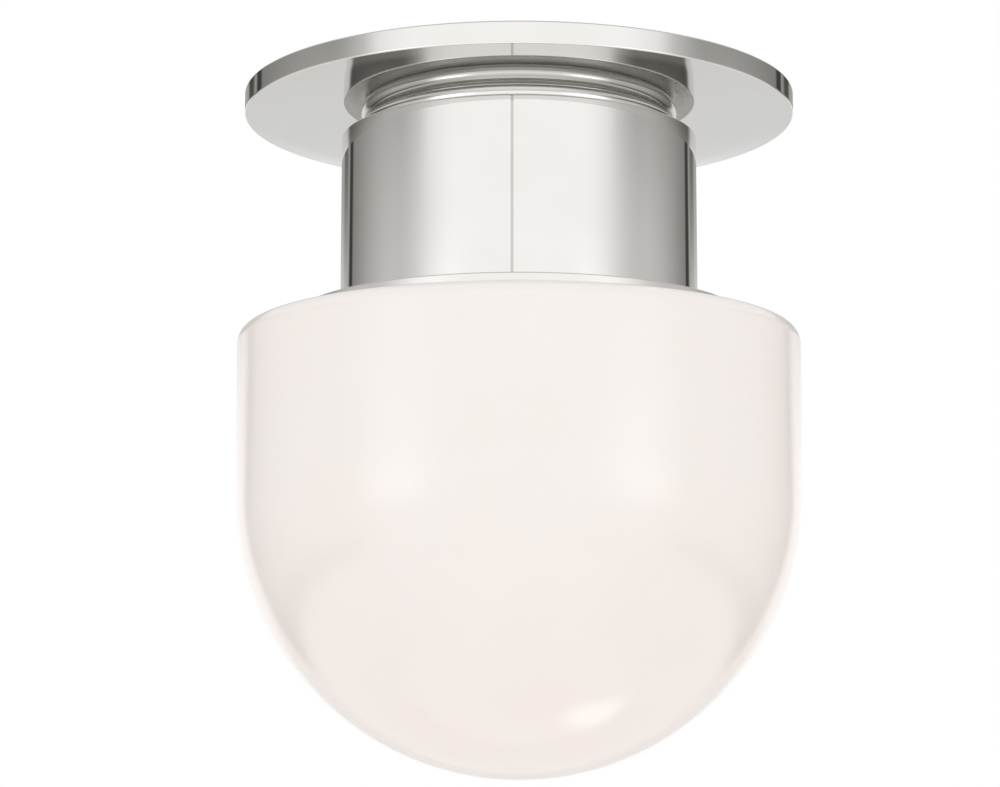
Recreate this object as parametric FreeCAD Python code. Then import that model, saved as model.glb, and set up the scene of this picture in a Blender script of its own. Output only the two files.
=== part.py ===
import FreeCAD, Part
import math
import os

# Flush mount ceiling light, held to a ceiling box by a crossbar.
# Millimetres, +Z up, the ceiling plane is Z = 0 and the light hangs below it on the Z axis.
# The front of the light faces -Y.

Vector = FreeCAD.Vector
UP = Vector(0, 0, 1)

# ---------------------------------------------------------------- driving dimensions
# Canopy, neck bead, sleeve and flange: the polished metal that shows
CANOPY_R = 70.0
CANOPY_DEPTH = 5.5
CANOPY_WALL = 1.2
BEAD_H = 5.5
BEAD_WALL = 3.5
BEAD_ROUND = 2.7
BEAD_STUD_CLEAR = 0.175
SLEEVE_R = 45.25
SLEEVE_WALL = 1.2
SLEEVE_LEN = 45.7
SLEEVE_SEAM_W = 0.4
SLEEVE_SEAM_DEPTH = 0.3
SLEEVE_SEAM_ANGLE = 2.6
TOP_PLATE_T = 1.5
FLANGE_R = 55.9
FLANGE_T = 3.0
EDGE_ROUND = 0.3

# Opal glass shade: straight wall, half-ball bottom, threaded neck
GLASS_R = 71.0
GLASS_WALL = 3.5
GLASS_STRAIGHT = 41.5
GLASS_SHOULDER = 4.0
GLASS_NECK_R = 40.5
GLASS_NECK_H = 13.0
GLASS_LIP_ROUND = 1.0
GASKET_T = 1.3
GASKET_W = 9.0

# Shade thread: a coarse moulded thread of one and a half turns
SHADE_PITCH = 4.0
SHADE_TURNS = 1.5
SHADE_RIDGE_H = 1.5
SHADE_RIDGE_BASE = 1.8
SHADE_RIDGE_CREST = 0.8
SHADE_THREAD_CLEAR = 0.5
SHADE_THREAD_START = 0.4
THREAD_BURY = 0.5
COLLAR_H = 8.8
COLLAR_FIT = 0.15

# Ceiling crossbar and the studs that carry the light
BAR_LEN = 110.0
BAR_W = 22.0
BAR_T = 2.0
BAR_HOLE_R = 8.0
BOX_SLOT_SPACING = 88.9
BOX_SLOT_LEN = 12.0
BOX_SLOT_R = 2.3
STUD_SPACING = 69.85
STUD_R = 2.08
STUD_HEAD_R = 3.6
STUD_HEAD_H = 2.3
STUD_HOLE_R = 2.6
STUD_END = 7.0
SCREW_SLOT = 1.0
NUT_FLATS = 8.7
NUT_H = 2.5
WASHER_R = 4.6
WASHER_T = 0.8
CAP_NUT_H = 9.0
CAP_NUT_HEX_H = 4.0
CAP_NUT_TIP = 1.2
CAP_NUT_DOME_INSET = 0.2
GROUND_X = 20.0
GROUND_HEAD_R = 3.9
GROUND_HEAD_H = 2.2
GROUND_LEN = 4.5
THREAD_FIT = 0.05

# Hollow nipple that clamps canopy, bead and sleeve, and carries the lampholder
NIPPLE_R = 4.75
NIPPLE_BORE_R = 3.25
NIPPLE_TOP = 1.4
NIPPLE_TAIL = 10.5
NIPPLE_NUT_FLATS = 14.2
HOLE_FIT = 0.1
BUSHING_LIP_R = 4.5
BUSHING_LIP_T = 1.0
BUSHING_TAIL = 6.0
BUSHING_WALL = 0.6

# Lampholder
HOLDER_R = 18.0
HOLDER_CAP_H = 18.0
HOLDER_CAP_WALL = 1.2
HOLDER_HUB_R = 7.2
HOLDER_HUB_H = 6.0
HOLDER_HUB_ROUND = 0.5
HOLDER_SHOULDER_DROP = 3.6
HOLDER_SHOULDER_ROUND = 3.0
HOLDER_LEN = 27.0
HOLDER_FLOOR = 5.0
HOLDER_RIM_ROUND = 1.5
HOLDER_MOUTH_ROUND = 0.8
SPIGOT_H = 3.0
SHELL_WALL = 0.5
SHELL_LIP_R = 8.0
SHELL_RECESS = 1.0
CONTACT_R = 5.0
CONTACT_TIP_R = 2.5
CONTACT_H = 2.5
CONTACT_LEAF = 0.6
RIVET_R = 2.0
TERMINAL_X = 11.0
TERMINAL_HEAD_R = 2.9
TERMINAL_HEAD_H = 2.0
TERMINAL_R = 1.7
TERMINAL_SLOT = 0.8
TERMINAL_HEAD_ROUND = 0.7

# Lamp with a standard 26 mm screw cap
LAMP_LEN = 104.0
LAMP_R = 30.0
LAMP_CAP_R = 12.2
LAMP_CAP_WALL = 0.5
LAMP_CAP_LEN = 20.0
LAMP_PITCH = 3.629
LAMP_THREAD_TURNS = 3.3
LAMP_RIDGE_H = 0.9
LAMP_RIDGE_BASE = 1.7
LAMP_RIDGE_CREST = 0.8
LAMP_THREAD_CLEAR = 0.3
LAMP_THREAD_START = 1.0
TIP_H = 1.2
TIP_R = 4.8
INSULATOR_H = 4.3
LAMP_BODY_LEN = 34.5
LAMP_BODY_TOP_R = 14.5
LAMP_WAIST_R = 16.5
LAMP_WAIST_DROP = 11.5
LAMP_WAIST_ROUND = 30.0
LAMP_RIM_INSET = 0.4
LAMP_EDGE_ROUND = 1.0
LAMP_SHELL_WALL = 2.0
LAMP_TENON = 6.0
BOARD_T = 1.6
DIFFUSER_WALL = 1.5
DIFFUSER_SEAT_CLEAR = 0.6

# Supply leads, cut short in the ceiling box and capped
LEAD_R = 1.1
LEAD_OFFSET = 1.35
LEAD_RISE = 7.6
LEAD_SPLAY = 8.0
LEAD_SPLAY_Y = 7.5
LEAD_RUN_Y = 13.0
LEAD_IN_CONNECTOR = 5.0
LEAD_TERMINAL_BEND = 3.0
LEAD_TOP_BEND = 5.0
LEAD_SPLAY_BEND = 4.0
CONNECTOR_R = 4.4
CONNECTOR_TIP_R = 2.6
CONNECTOR_LEN = 17.0
CONNECTOR_SKIRT = 6.8
CONNECTOR_SKIRT_ROUND = 2.0
CONNECTOR_TIP_ROUND = 1.0
CONNECTOR_MOUTH_ROUND = 0.4

# How far a cutting shape runs past the face that it opens
OVER = 1.0

# ---------------------------------------------------------------- levels worked out from them
CANOPY_INSIDE_Z = CANOPY_WALL - CANOPY_DEPTH
CANOPY_UNDER_Z = -CANOPY_DEPTH
BEAD_BORE_R = STUD_SPACING / 2 + STUD_HOLE_R + BEAD_STUD_CLEAR
BEAD_R = BEAD_BORE_R + BEAD_WALL
SLEEVE_TOP_Z = CANOPY_UNDER_Z - BEAD_H
PLATE_UNDER_Z = SLEEVE_TOP_Z - TOP_PLATE_T
SLEEVE_END_Z = SLEEVE_TOP_Z - SLEEVE_LEN
FLANGE_UNDER_Z = SLEEVE_END_Z - FLANGE_T
GLASS_TOP_Z = FLANGE_UNDER_Z - GASKET_T
GLASS_BALL_Z = GLASS_TOP_Z - GLASS_STRAIGHT
GLASS_END_Z = GLASS_BALL_Z - GLASS_R
SLEEVE_BORE_R = SLEEVE_R - SLEEVE_WALL
SHADE_CREST_R = GLASS_NECK_R + SHADE_RIDGE_H
COLLAR_BORE_R = SHADE_CREST_R + SHADE_THREAD_CLEAR
COLLAR_CREST_R = GLASS_NECK_R + SHADE_THREAD_CLEAR
FLANGE_BORE_R = COLLAR_BORE_R + HOLE_FIT
NIPPLE_NUT_Z = PLATE_UNDER_Z - NUT_H
HOLDER_CAP_Z = NIPPLE_NUT_Z - HOLDER_CAP_H
HOLDER_END_Z = HOLDER_CAP_Z - HOLDER_LEN
FLOOR_Z = HOLDER_CAP_Z - HOLDER_FLOOR
LAMP_TOP_Z = FLOOR_Z - CONTACT_H
LAMP_CREST_R = LAMP_CAP_R + LAMP_RIDGE_H
SHELL_R = LAMP_CREST_R + LAMP_THREAD_CLEAR
SHELL_OUT_R = SHELL_R + SHELL_WALL
LAMP_CAP_Z = LAMP_TOP_Z - TIP_H - INSULATOR_H
LAMP_CAP_END_Z = LAMP_CAP_Z - LAMP_CAP_LEN
LAMP_BODY_END_Z = LAMP_CAP_END_Z - LAMP_BODY_LEN
LAMP_END_Z = LAMP_TOP_Z - LAMP_LEN
DIFFUSER_SEAT_R = LAMP_R - LAMP_RIM_INSET - LAMP_SHELL_WALL - DIFFUSER_SEAT_CLEAR


# ---------------------------------------------------------------- shape helpers
def rounded_edges(corners, closed):
    """Straight edges through the corners (point, radius), joined by tangent arcs at each radius."""
    count = len(corners)
    edges = []
    entries = []
    for i, (point, radius) in enumerate(corners):
        if radius <= 0 or (not closed and i in (0, count - 1)):
            entries.append((point, None, point))
            continue
        back = (corners[i - 1][0] - point).normalize()
        ahead = (corners[(i + 1) % count][0] - point).normalize()
        half = back.getAngle(ahead) / 2
        middle = (back + ahead).normalize()
        setback = radius / math.tan(half)
        to_arc = radius / math.sin(half) - radius
        entries.append((point + back * setback, point + middle * to_arc, point + ahead * setback))
    for i, (start, crown, end) in enumerate(entries):
        if crown is not None:
            edges.append(Part.Arc(start, crown, end).toShape())
        if i == count - 1 and not closed:
            break
        following = entries[(i + 1) % count][0]
        if (following - end).Length > 1e-6:
            edges.append(Part.LineSegment(end, following).toShape())
    return edges


def turned(corners):
    """Solid turned about Z from a closed outline of (radius, height, corner round)."""
    points = [(Vector(r, 0, z), radius) for r, z, radius in corners]
    outline = Part.Wire(Part.__sortEdges__(rounded_edges(points, True)))
    return Part.Face(outline).revolve(Vector(0, 0, 0), UP, 360)


def plain(*points):
    """Outline of (radius, height) points with sharp corners."""
    return [(r, z, 0) for r, z in points]


def rod(radius, low, high, x=0.0, y=0.0):
    """Upright round bar between two heights."""
    return Part.makeCylinder(radius, high - low, Vector(x, y, low))


def hexagon(flats, low, high, x=0.0, y=0.0):
    """Upright hexagonal prism, flats towards X, with its outer corners bevelled at both ends."""
    corner_r = flats / math.sqrt(3)
    bevel = (corner_r - flats / 2) / 2
    turns = [math.radians(60 * i + 30) for i in range(7)]
    ring = [Vector(x + corner_r * math.cos(turn), y + corner_r * math.sin(turn), low) for turn in turns]
    prism = Part.Face(Part.makePolygon(ring)).extrude(Vector(0, 0, high - low))
    blank = turned(plain((0, low), (flats / 2, low), (corner_r, low + bevel),
                         (corner_r, high - bevel), (flats / 2, high), (0, high)))
    blank.translate(Vector(x, y, 0))
    return prism.common(blank)


def nut(flats, bore_r, low, height, x=0.0, y=0.0):
    """Hexagonal nut with a plain bore."""
    bore = rod(bore_r, low - OVER, low + height + OVER, x, y)
    return hexagon(flats, low, low + height, x, y).cut(bore)


def slotted(head, head_r, floor_z, size):
    """The screw head with a straight slot, as wide as it is deep, across it."""
    return head.cut(Part.makeBox(3 * head_r, size, size, Vector(-1.5 * head_r, -size / 2, floor_z)))


def thread_ridge(root_r, crest_r, base_w, crest_w, pitch, turns, low, bury):
    """Right-handed helical ridge of straight flanks, its foot buried in the wall at root_r."""
    height = abs(crest_r - root_r)
    foot_r = root_r - math.copysign(bury, crest_r - root_r)
    foot_w = base_w + (base_w - crest_w) * bury / height
    helix = Part.makeHelix(pitch, pitch * turns, root_r)
    section = [Vector(foot_r, 0, -foot_w / 2), Vector(crest_r, 0, -crest_w / 2),
               Vector(crest_r, 0, crest_w / 2), Vector(foot_r, 0, foot_w / 2)]
    section.append(section[0])
    ridge = Part.Wire(helix).makePipeShell([Part.makePolygon(section)], True, True)
    ridge.translate(Vector(0, 0, low))
    return ridge


def tube(corners, radius):
    """Round wire along straight runs joined by tangent arcs."""
    path = Part.Wire(rounded_edges([(Vector(*point), bend) for point, bend in corners], False))
    first = Vector(*corners[0][0])
    way = (Vector(*corners[1][0]) - first).normalize()
    section = Part.Wire(Part.makeCircle(radius, first, way))
    return path.makePipeShell([section], True, True)


def both_sides(make, spacing):
    """The same piece at each end of a pair spaced along X."""
    return Part.makeCompound([make(-spacing / 2), make(spacing / 2)])


# ---------------------------------------------------------------- ceiling hardware
def crossbar():
    """Flat steel bar with end slots for the ceiling box and tapped holes for the studs."""
    half = BAR_LEN / 2
    corners = [(Vector(-half, -BAR_W / 2, 0), BAR_W / 4), (Vector(half, -BAR_W / 2, 0), BAR_W / 4),
               (Vector(half, BAR_W / 2, 0), BAR_W / 4), (Vector(-half, BAR_W / 2, 0), BAR_W / 4)]
    bar = Part.Face(Part.Wire(rounded_edges(corners, True))).extrude(UP * BAR_T)
    bar = bar.cut(rod(BAR_HOLE_R, -OVER, BAR_T + OVER))
    bar = bar.cut(rod(STUD_R + THREAD_FIT, -OVER, BAR_T + OVER, GROUND_X))
    slot_run = BOX_SLOT_LEN - 2 * BOX_SLOT_R
    for side in (-1, 1):
        x = side * BOX_SLOT_SPACING / 2
        slot = Part.makeBox(slot_run, 2 * BOX_SLOT_R, BAR_T + 2 * OVER,
                            Vector(x - slot_run / 2, -BOX_SLOT_R, -OVER))
        for end in (-1, 1):
            slot = slot.fuse(rod(BOX_SLOT_R, -OVER, BAR_T + OVER, x + end * slot_run / 2))
        bar = bar.cut(slot.removeSplitter())
        bar = bar.cut(rod(STUD_R + THREAD_FIT, -OVER, BAR_T + OVER, side * STUD_SPACING / 2))
    return bar


def mounting_studs():
    """Two screws, heads on the bar, that reach down into the sleeve."""
    low = PLATE_UNDER_Z - WASHER_T - STUD_END

    def stud(x):
        top = BAR_T + STUD_HEAD_H
        head = turned([(0, BAR_T, 0), (STUD_HEAD_R, BAR_T, 0), (STUD_HEAD_R, top, STUD_HEAD_H / 2),
                       (0, top, 0)])
        head = slotted(head, STUD_HEAD_R, top - SCREW_SLOT, SCREW_SLOT)
        head.translate(Vector(x, 0, 0))
        return head.fuse(rod(STUD_R, low, BAR_T, x)).removeSplitter()

    return both_sides(stud, STUD_SPACING)


def stud_locknuts():
    """Nuts that lock the studs under the bar."""
    return both_sides(lambda x: nut(NUT_FLATS, STUD_R + THREAD_FIT, -NUT_H, NUT_H, x), STUD_SPACING)


def stud_washers():
    """Washers under the cap nuts, inside the sleeve."""
    low = PLATE_UNDER_Z - WASHER_T

    def washer(x):
        return rod(WASHER_R, low, PLATE_UNDER_Z, x).cut(rod(STUD_R + HOLE_FIT, low - OVER, 0, x))

    return both_sides(washer, STUD_SPACING)


def cap_nuts():
    """Domed nuts that hold the light up against the bar."""
    high = PLATE_UNDER_Z - WASHER_T
    low = high - CAP_NUT_H

    def cap_nut(x):
        dome_r = NUT_FLATS / 2 - CAP_NUT_DOME_INSET
        dome_top = high - CAP_NUT_HEX_H / 2
        dome = turned([(0, low, 0), (dome_r, low, dome_r - CAP_NUT_DOME_INSET), (dome_r, dome_top, 0),
                       (0, dome_top, 0)])
        dome.translate(Vector(x, 0, 0))
        body = hexagon(NUT_FLATS, high - CAP_NUT_HEX_H, high, x).fuse(dome)
        bore = rod(STUD_R + THREAD_FIT, low + CAP_NUT_TIP, high + OVER, x)
        return body.cut(bore).removeSplitter()

    return both_sides(cap_nut, STUD_SPACING)


def ground_screw():
    """Earthing screw in the bar, head down towards the canopy."""
    head = turned([(0, -GROUND_HEAD_H, 0), (GROUND_HEAD_R, -GROUND_HEAD_H, GROUND_HEAD_H / 2),
                   (GROUND_HEAD_R, 0, 0), (0, 0, 0)])
    head = slotted(head, GROUND_HEAD_R, -GROUND_HEAD_H, SCREW_SLOT)
    screw = head.fuse(rod(STUD_R, 0, GROUND_LEN)).removeSplitter()
    screw.translate(Vector(GROUND_X, 0, 0))
    return screw


# ---------------------------------------------------------------- polished metal
def stud_holes(low, high):
    """Clearance holes for the two studs."""
    return both_sides(lambda x: rod(STUD_HOLE_R, low, high, x), STUD_SPACING)


def canopy():
    """Shallow spun pan with a flat underside and an upright edge."""
    pan = turned([(NIPPLE_R + HOLE_FIT, CANOPY_UNDER_Z, 0), (CANOPY_R, CANOPY_UNDER_Z, EDGE_ROUND),
                  (CANOPY_R, 0, EDGE_ROUND), (CANOPY_R - CANOPY_WALL, 0, EDGE_ROUND),
                  (CANOPY_R - CANOPY_WALL, CANOPY_INSIDE_Z, 0), (NIPPLE_R + HOLE_FIT, CANOPY_INSIDE_Z, 0)])
    return pan.cut(stud_holes(CANOPY_UNDER_Z - OVER, OVER))


def neck_bead():
    """Half-round turned ring between the canopy and the sleeve."""
    return turned([(BEAD_BORE_R, SLEEVE_TOP_Z, 0), (BEAD_R, SLEEVE_TOP_Z, BEAD_ROUND),
                   (BEAD_R, CANOPY_UNDER_Z, BEAD_ROUND), (BEAD_BORE_R, CANOPY_UNDER_Z, 0)])


def sleeve():
    """Rolled tube with one fine upright seam near the front."""
    wall = turned([(SLEEVE_BORE_R, SLEEVE_END_Z, 0), (SLEEVE_R, SLEEVE_END_Z, 0),
                   (SLEEVE_R, SLEEVE_TOP_Z, EDGE_ROUND), (SLEEVE_BORE_R, SLEEVE_TOP_Z, 0)])
    seam = Part.makeBox(SLEEVE_SEAM_W, SLEEVE_SEAM_DEPTH * 2, SLEEVE_LEN + 2 * OVER,
                        Vector(-SLEEVE_SEAM_W / 2, -SLEEVE_R - SLEEVE_SEAM_DEPTH, SLEEVE_END_Z - OVER))
    seam.rotate(Vector(0, 0, 0), UP, -SLEEVE_SEAM_ANGLE)
    return wall.cut(seam)


def top_plate():
    """Disc that closes the top of the sleeve."""
    low = PLATE_UNDER_Z - OVER
    high = SLEEVE_TOP_Z + OVER
    disc = rod(SLEEVE_BORE_R, PLATE_UNDER_Z, SLEEVE_TOP_Z).cut(rod(NIPPLE_R + HOLE_FIT, low, high))
    return disc.cut(stud_holes(low, high))


def flange():
    """Flat ring at the foot of the sleeve that covers the shoulder of the shade."""
    return turned([(FLANGE_BORE_R, FLANGE_UNDER_Z, 0), (FLANGE_R, FLANGE_UNDER_Z, EDGE_ROUND),
                   (FLANGE_R, SLEEVE_END_Z, EDGE_ROUND), (FLANGE_BORE_R, SLEEVE_END_Z, 0)])


# ---------------------------------------------------------------- shade
def collar_thread_z():
    """Height at which the middle of the collar's ridge starts."""
    return SLEEVE_END_Z + SHADE_THREAD_START + SHADE_RIDGE_BASE / 2


def shade_collar():
    """Threaded ring inside the foot of the sleeve that takes the neck of the shade."""
    outer_r = SLEEVE_BORE_R - COLLAR_FIT
    ring = turned(plain((COLLAR_BORE_R, SLEEVE_END_Z), (outer_r, SLEEVE_END_Z),
                        (outer_r, SLEEVE_END_Z + COLLAR_H), (COLLAR_BORE_R, SLEEVE_END_Z + COLLAR_H)))
    ridge = thread_ridge(COLLAR_BORE_R, COLLAR_CREST_R, SHADE_RIDGE_BASE, SHADE_RIDGE_CREST,
                         SHADE_PITCH, SHADE_TURNS, collar_thread_z(), THREAD_BURY)
    return ring.fuse(ridge).removeSplitter()


def glass_shade():
    """Opal glass: moulded thread on the neck, small shoulder round, straight wall, half-ball end."""
    neck_top = GLASS_TOP_Z + GLASS_NECK_H
    bore_r = GLASS_NECK_R - GLASS_WALL
    inside_r = GLASS_R - GLASS_WALL
    body = turned([(0, GLASS_END_Z, 0), (GLASS_R, GLASS_END_Z, GLASS_R),
                   (GLASS_R, GLASS_TOP_Z, GLASS_SHOULDER), (GLASS_NECK_R, GLASS_TOP_Z, 0),
                   (GLASS_NECK_R, neck_top, GLASS_LIP_ROUND), (bore_r, neck_top, GLASS_LIP_ROUND),
                   (bore_r, GLASS_TOP_Z - GLASS_WALL, GLASS_LIP_ROUND),
                   (inside_r, GLASS_TOP_Z - GLASS_WALL, GLASS_LIP_ROUND),
                   (inside_r, GLASS_END_Z + GLASS_WALL, inside_r), (0, GLASS_END_Z + GLASS_WALL, 0)])
    ridge = thread_ridge(GLASS_NECK_R, SHADE_CREST_R, SHADE_RIDGE_BASE, SHADE_RIDGE_CREST,
                         SHADE_PITCH, SHADE_TURNS, collar_thread_z() - SHADE_PITCH / 2, THREAD_BURY)
    return body.fuse(ridge).removeSplitter()


def shade_gasket():
    """Soft ring between the flange and the shade."""
    inner_r = SHADE_CREST_R + SHADE_THREAD_CLEAR
    return turned(plain((inner_r, GLASS_TOP_Z), (inner_r + GASKET_W, GLASS_TOP_Z),
                        (inner_r + GASKET_W, FLANGE_UNDER_Z), (inner_r, FLANGE_UNDER_Z)))


# ---------------------------------------------------------------- lampholder
def nipple():
    """Hollow threaded tube that clamps the stack and carries the lampholder."""
    low = HOLDER_CAP_Z + HOLDER_CAP_H - NIPPLE_TAIL
    return rod(NIPPLE_R, low, -NIPPLE_TOP).cut(rod(NIPPLE_BORE_R, low - OVER, 0))


def nipple_nuts():
    """Nut in the canopy and nut under the top plate."""
    bore_r = NIPPLE_R + THREAD_FIT
    upper = nut(NIPPLE_NUT_FLATS, bore_r, CANOPY_INSIDE_Z, NUT_H)
    lower = nut(NIPPLE_NUT_FLATS, bore_r, NIPPLE_NUT_Z, NUT_H)
    return Part.makeCompound([upper, lower])


def wire_bushing():
    """Plastic sleeve that guards the leads at the top of the nipple."""
    outer_r = NIPPLE_BORE_R - THREAD_FIT
    inner_r = outer_r - BUSHING_WALL
    top = BUSHING_LIP_T - NIPPLE_TOP
    return turned([(inner_r, -NIPPLE_TOP - BUSHING_TAIL, 0), (outer_r, -NIPPLE_TOP - BUSHING_TAIL, 0),
                   (outer_r, -NIPPLE_TOP, 0), (BUSHING_LIP_R, -NIPPLE_TOP, 0),
                   (BUSHING_LIP_R, top, BUSHING_LIP_T / 2), (inner_r, top, 0)])


def holder_cap():
    """Spun cap of the lampholder, screwed on the nipple by its hub."""
    top = NIPPLE_NUT_Z
    hub_z = top - HOLDER_HUB_H
    bore_r = NIPPLE_R + THREAD_FIT
    wall = HOLDER_CAP_WALL
    shoulder_z = hub_z - HOLDER_SHOULDER_DROP
    return turned([(bore_r, top, 0), (HOLDER_HUB_R, top, HOLDER_HUB_ROUND),
                   (HOLDER_HUB_R, hub_z + wall, HOLDER_HUB_ROUND),
                   (HOLDER_R, shoulder_z, HOLDER_SHOULDER_ROUND), (HOLDER_R, HOLDER_CAP_Z, 0),
                   (HOLDER_R - wall, HOLDER_CAP_Z, 0),
                   (HOLDER_R - wall, shoulder_z - wall, HOLDER_SHOULDER_ROUND - wall),
                   (HOLDER_HUB_R, hub_z, 0), (bore_r, hub_z, 0)])


def terminal_holes(radius):
    """The two screws, or with a larger radius their holes, through the floor of the holder."""
    return both_sides(lambda x: rod(radius, FLOOR_Z, HOLDER_CAP_Z + SPIGOT_H, x), 2 * TERMINAL_X)


def holder_body():
    """Glazed porcelain body: a spigot in the cap, a floor and a deep bore for the screw shell."""
    bore_r = SHELL_OUT_R + HOLE_FIT
    spigot_r = HOLDER_R - HOLDER_CAP_WALL - HOLE_FIT
    spigot_z = HOLDER_CAP_Z + SPIGOT_H
    body = turned([(RIVET_R + HOLE_FIT, spigot_z, 0), (spigot_r, spigot_z, 0),
                   (spigot_r, HOLDER_CAP_Z, 0), (HOLDER_R, HOLDER_CAP_Z, 0),
                   (HOLDER_R, HOLDER_END_Z, HOLDER_RIM_ROUND), (bore_r, HOLDER_END_Z, HOLDER_MOUTH_ROUND),
                   (bore_r, FLOOR_Z, 0), (RIVET_R + HOLE_FIT, FLOOR_Z, 0)])
    return body.cut(terminal_holes(TERMINAL_R + HOLE_FIT))


def screw_shell():
    """Formed metal shell with the rolled thread that the lamp screws into."""
    low = HOLDER_END_Z + SHELL_RECESS
    shell = turned(plain((SHELL_LIP_R, FLOOR_Z), (SHELL_OUT_R, FLOOR_Z), (SHELL_OUT_R, low),
                         (SHELL_R, low), (SHELL_R, FLOOR_Z - SHELL_WALL),
                         (SHELL_LIP_R, FLOOR_Z - SHELL_WALL)))
    ridge = thread_ridge(SHELL_R, SHELL_R - LAMP_RIDGE_H, LAMP_RIDGE_BASE - LAMP_THREAD_CLEAR,
                         LAMP_RIDGE_CREST, LAMP_PITCH, LAMP_THREAD_TURNS, lamp_thread_z() - LAMP_PITCH / 2,
                         SHELL_WALL / 2)
    return shell.fuse(ridge).removeSplitter()


def centre_contact():
    """Sprung contact leaf with its rivet through the floor."""
    rivet_top = HOLDER_CAP_Z + SPIGOT_H
    return turned([(0, LAMP_TOP_Z, 0), (CONTACT_TIP_R, LAMP_TOP_Z, 0),
                   (CONTACT_R, FLOOR_Z - CONTACT_LEAF, 0), (CONTACT_R, FLOOR_Z, 0),
                   (RIVET_R, FLOOR_Z, 0), (RIVET_R, rivet_top, 0), (0, rivet_top, 0)])


def terminal_screws():
    """Screws that hold the ends of the leads on top of the holder body."""
    seat_z = HOLDER_CAP_Z + SPIGOT_H
    top_z = seat_z + TERMINAL_HEAD_H

    def screw(x):
        head = turned([(0, seat_z, 0), (TERMINAL_HEAD_R, seat_z, 0),
                       (TERMINAL_HEAD_R, top_z, TERMINAL_HEAD_ROUND), (0, top_z, 0)])
        head = slotted(head, TERMINAL_HEAD_R, top_z - TERMINAL_SLOT, TERMINAL_SLOT)
        head.translate(Vector(x, 0, 0))
        return head.fuse(rod(TERMINAL_R, FLOOR_Z + SHELL_WALL, seat_z, x)).removeSplitter()

    return both_sides(screw, 2 * TERMINAL_X)


# ---------------------------------------------------------------- lamp
def lamp_thread_z():
    """Height at which the thread of the lamp cap ends at its open side."""
    return LAMP_CAP_Z - LAMP_THREAD_START - LAMP_PITCH * LAMP_THREAD_TURNS


def tip_contact():
    """Solder tip that presses on the centre contact."""
    return turned([(0, LAMP_TOP_Z - TIP_H, 0), (TIP_R, LAMP_TOP_Z - TIP_H, 0),
                   (CONTACT_TIP_R, LAMP_TOP_Z, 0), (0, LAMP_TOP_Z, 0)])


def cap_insulator():
    """Dark glass cone between the tip and the screw cap."""
    return turned(plain((0, LAMP_CAP_Z), (LAMP_CAP_R, LAMP_CAP_Z), (TIP_R, LAMP_TOP_Z - TIP_H),
                        (0, LAMP_TOP_Z - TIP_H)))


def lamp_cap():
    """Rolled screw cap of the lamp."""
    inner_r = LAMP_CAP_R - LAMP_CAP_WALL
    tube_wall = turned(plain((inner_r, LAMP_CAP_END_Z), (LAMP_CAP_R, LAMP_CAP_END_Z),
                             (LAMP_CAP_R, LAMP_CAP_Z), (inner_r, LAMP_CAP_Z)))
    ridge = thread_ridge(LAMP_CAP_R, LAMP_CREST_R, LAMP_RIDGE_BASE, LAMP_RIDGE_CREST, LAMP_PITCH,
                         LAMP_THREAD_TURNS, lamp_thread_z(), LAMP_CAP_WALL / 2)
    return tube_wall.fuse(ridge).removeSplitter()


def lamp_housing():
    """Flared plastic body of the lamp, its tenon glued in the screw cap."""
    tenon_r = LAMP_CAP_R - LAMP_CAP_WALL - THREAD_FIT
    wall = LAMP_SHELL_WALL
    rim_r = LAMP_R - LAMP_RIM_INSET
    tenon_z = LAMP_CAP_END_Z + LAMP_TENON
    waist_z = LAMP_CAP_END_Z - LAMP_WAIST_DROP
    return turned([(tenon_r - wall, tenon_z, 0), (tenon_r, tenon_z, 0), (tenon_r, LAMP_CAP_END_Z, 0),
                   (LAMP_BODY_TOP_R, LAMP_CAP_END_Z, LAMP_EDGE_ROUND),
                   (LAMP_WAIST_R, waist_z, LAMP_WAIST_ROUND), (rim_r, LAMP_BODY_END_Z, 0),
                   (rim_r - wall, LAMP_BODY_END_Z, 0),
                   (LAMP_WAIST_R - wall, waist_z, LAMP_WAIST_ROUND - wall),
                   (tenon_r - wall, LAMP_CAP_END_Z, 0)])


def led_board():
    """Round board with the light sources, in the rim of the housing."""
    return rod(DIFFUSER_SEAT_R - DIFFUSER_WALL - HOLE_FIT, LAMP_BODY_END_Z, LAMP_BODY_END_Z + BOARD_T)


def lamp_diffuser():
    """Frosted dome of the lamp."""
    wall = DIFFUSER_WALL
    return turned([(0, LAMP_END_Z, 0), (LAMP_R, LAMP_END_Z, LAMP_R),
                   (LAMP_R, LAMP_BODY_END_Z, LAMP_EDGE_ROUND),
                   (DIFFUSER_SEAT_R - wall, LAMP_BODY_END_Z, 0),
                   (DIFFUSER_SEAT_R - wall, LAMP_BODY_END_Z - wall, 0),
                   (LAMP_R - wall, LAMP_BODY_END_Z - wall, 0),
                   (LAMP_R - wall, LAMP_END_Z + wall, LAMP_R - wall), (0, LAMP_END_Z + wall, 0)])


# ---------------------------------------------------------------- leads
def lead(side):
    """Insulated lead from a terminal, up through the nipple and back into its connector."""
    seat_z = HOLDER_CAP_Z + SPIGOT_H + LEAD_R
    x = side * LEAD_OFFSET
    end_y = LEAD_RUN_Y + LEAD_IN_CONNECTOR
    return tube([((side * (TERMINAL_X - TERMINAL_HEAD_R), 0, seat_z), 0),
                 ((x, 0, seat_z), LEAD_TERMINAL_BEND),
                 ((x, 0, LEAD_RISE), LEAD_TOP_BEND),
                 ((side * LEAD_SPLAY, LEAD_SPLAY_Y, LEAD_RISE), LEAD_SPLAY_BEND),
                 ((side * LEAD_SPLAY, end_y, LEAD_RISE), 0)], LEAD_R)


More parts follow.
